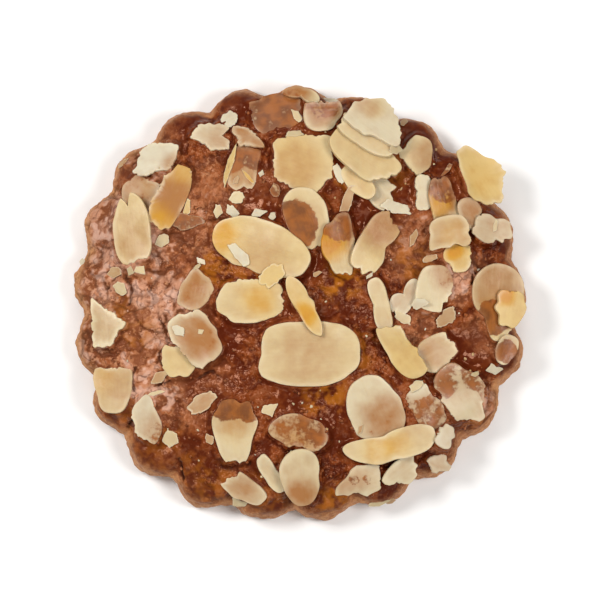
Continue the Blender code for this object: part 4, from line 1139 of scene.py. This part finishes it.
stageLook = {
    "floorColour": "#f4f3f1", "floorHalf": 3.0, "floorGap": 0.0002,  # here lengths are metres
    "worldColour": "#ffffff", "worldStrength": 0.18,
    "cameraTilt": 86, "cameraAway": 0.8, "focalLength": 218, "target": (0, 0, 0.011),
    "lamps": [  # (azimuth, elevation, away, width, watts)
        (-112, 57, 0.42, 0.15, 1.2), (80, 60, 0.42, 0.16, 0.94),
        (180, 52, 0.8, 0.35, 0.9), (0, 45, 0.8, 0.35, 0.8),
    ],
}


def aim(item, place, target):
    item.location = place
    item.rotation_euler = (Vector(target) - Vector(place)).to_track_quat("-Z", "Y").to_euler()


def setStage(look):
    middle = Vector([0.5 * (low + high) for low, high in zip(*cadBox)])
    half = look["floorHalf"]
    floorMesh = bpy.data.meshes.new("floor")
    floorMesh.from_pydata([(-half, -half, 0), (half, -half, 0), (half, half, 0), (-half, half, 0)],
                          [], [(0, 1, 2, 3)])
    floor = bpy.data.objects.new("floor", floorMesh)
    bpy.context.scene.collection.objects.link(floor)
    floor.location.z = cadBox[0][2] - look["floorGap"]
    paper, tree = newMaterial("matte_white_paper")
    shader = addNode(tree, "ShaderNodeBsdfPrincipled", {
        "Base Color": hexColour(look["floorColour"]), "Roughness": 0.9})
    addNode(tree, "ShaderNodeOutputMaterial", {"Surface": shader})
    floorMesh.materials.append(paper)

    world = bpy.data.worlds.new("studio")
    bpy.context.scene.world = world
    world.use_nodes = True
    background = world.node_tree.nodes["Background"]
    background.inputs["Color"].default_value = hexColour(look["worldColour"])
    background.inputs["Strength"].default_value = look["worldStrength"]

    for number, (azimuth, elevation, away, width, watts) in enumerate(look["lamps"]):
        light = bpy.data.lights.new(f"softLamp{number}", "AREA")
        light.shape = "DISK"
        light.size = width
        light.energy = watts
        lamp = bpy.data.objects.new(f"softLamp{number}", light)
        bpy.context.scene.collection.objects.link(lamp)
        azimuth, elevation = math.radians(azimuth), math.radians(elevation)
        place = middle + away * Vector((math.sin(azimuth) * math.cos(elevation),
                                        -math.cos(azimuth) * math.cos(elevation), math.sin(elevation)))
        aim(lamp, place, middle)

    lens = bpy.data.cameras.new("camera")
    lens.lens = look["focalLength"]
    lens.sensor_width = 36
    lens.clip_start = 0.01
    camera = bpy.data.objects.new("camera", lens)
    bpy.context.scene.collection.objects.link(camera)
    tilt, target = math.radians(look["cameraTilt"]), Vector(look["target"])
    aim(camera, target + look["cameraAway"] * Vector((0, -math.cos(tilt), math.sin(tilt))), target)
    bpy.context.scene.camera = camera
    bpy.context.scene.view_settings.view_transform = "Standard"


setStage(stageLook)
print("floor, lamps and camera set")
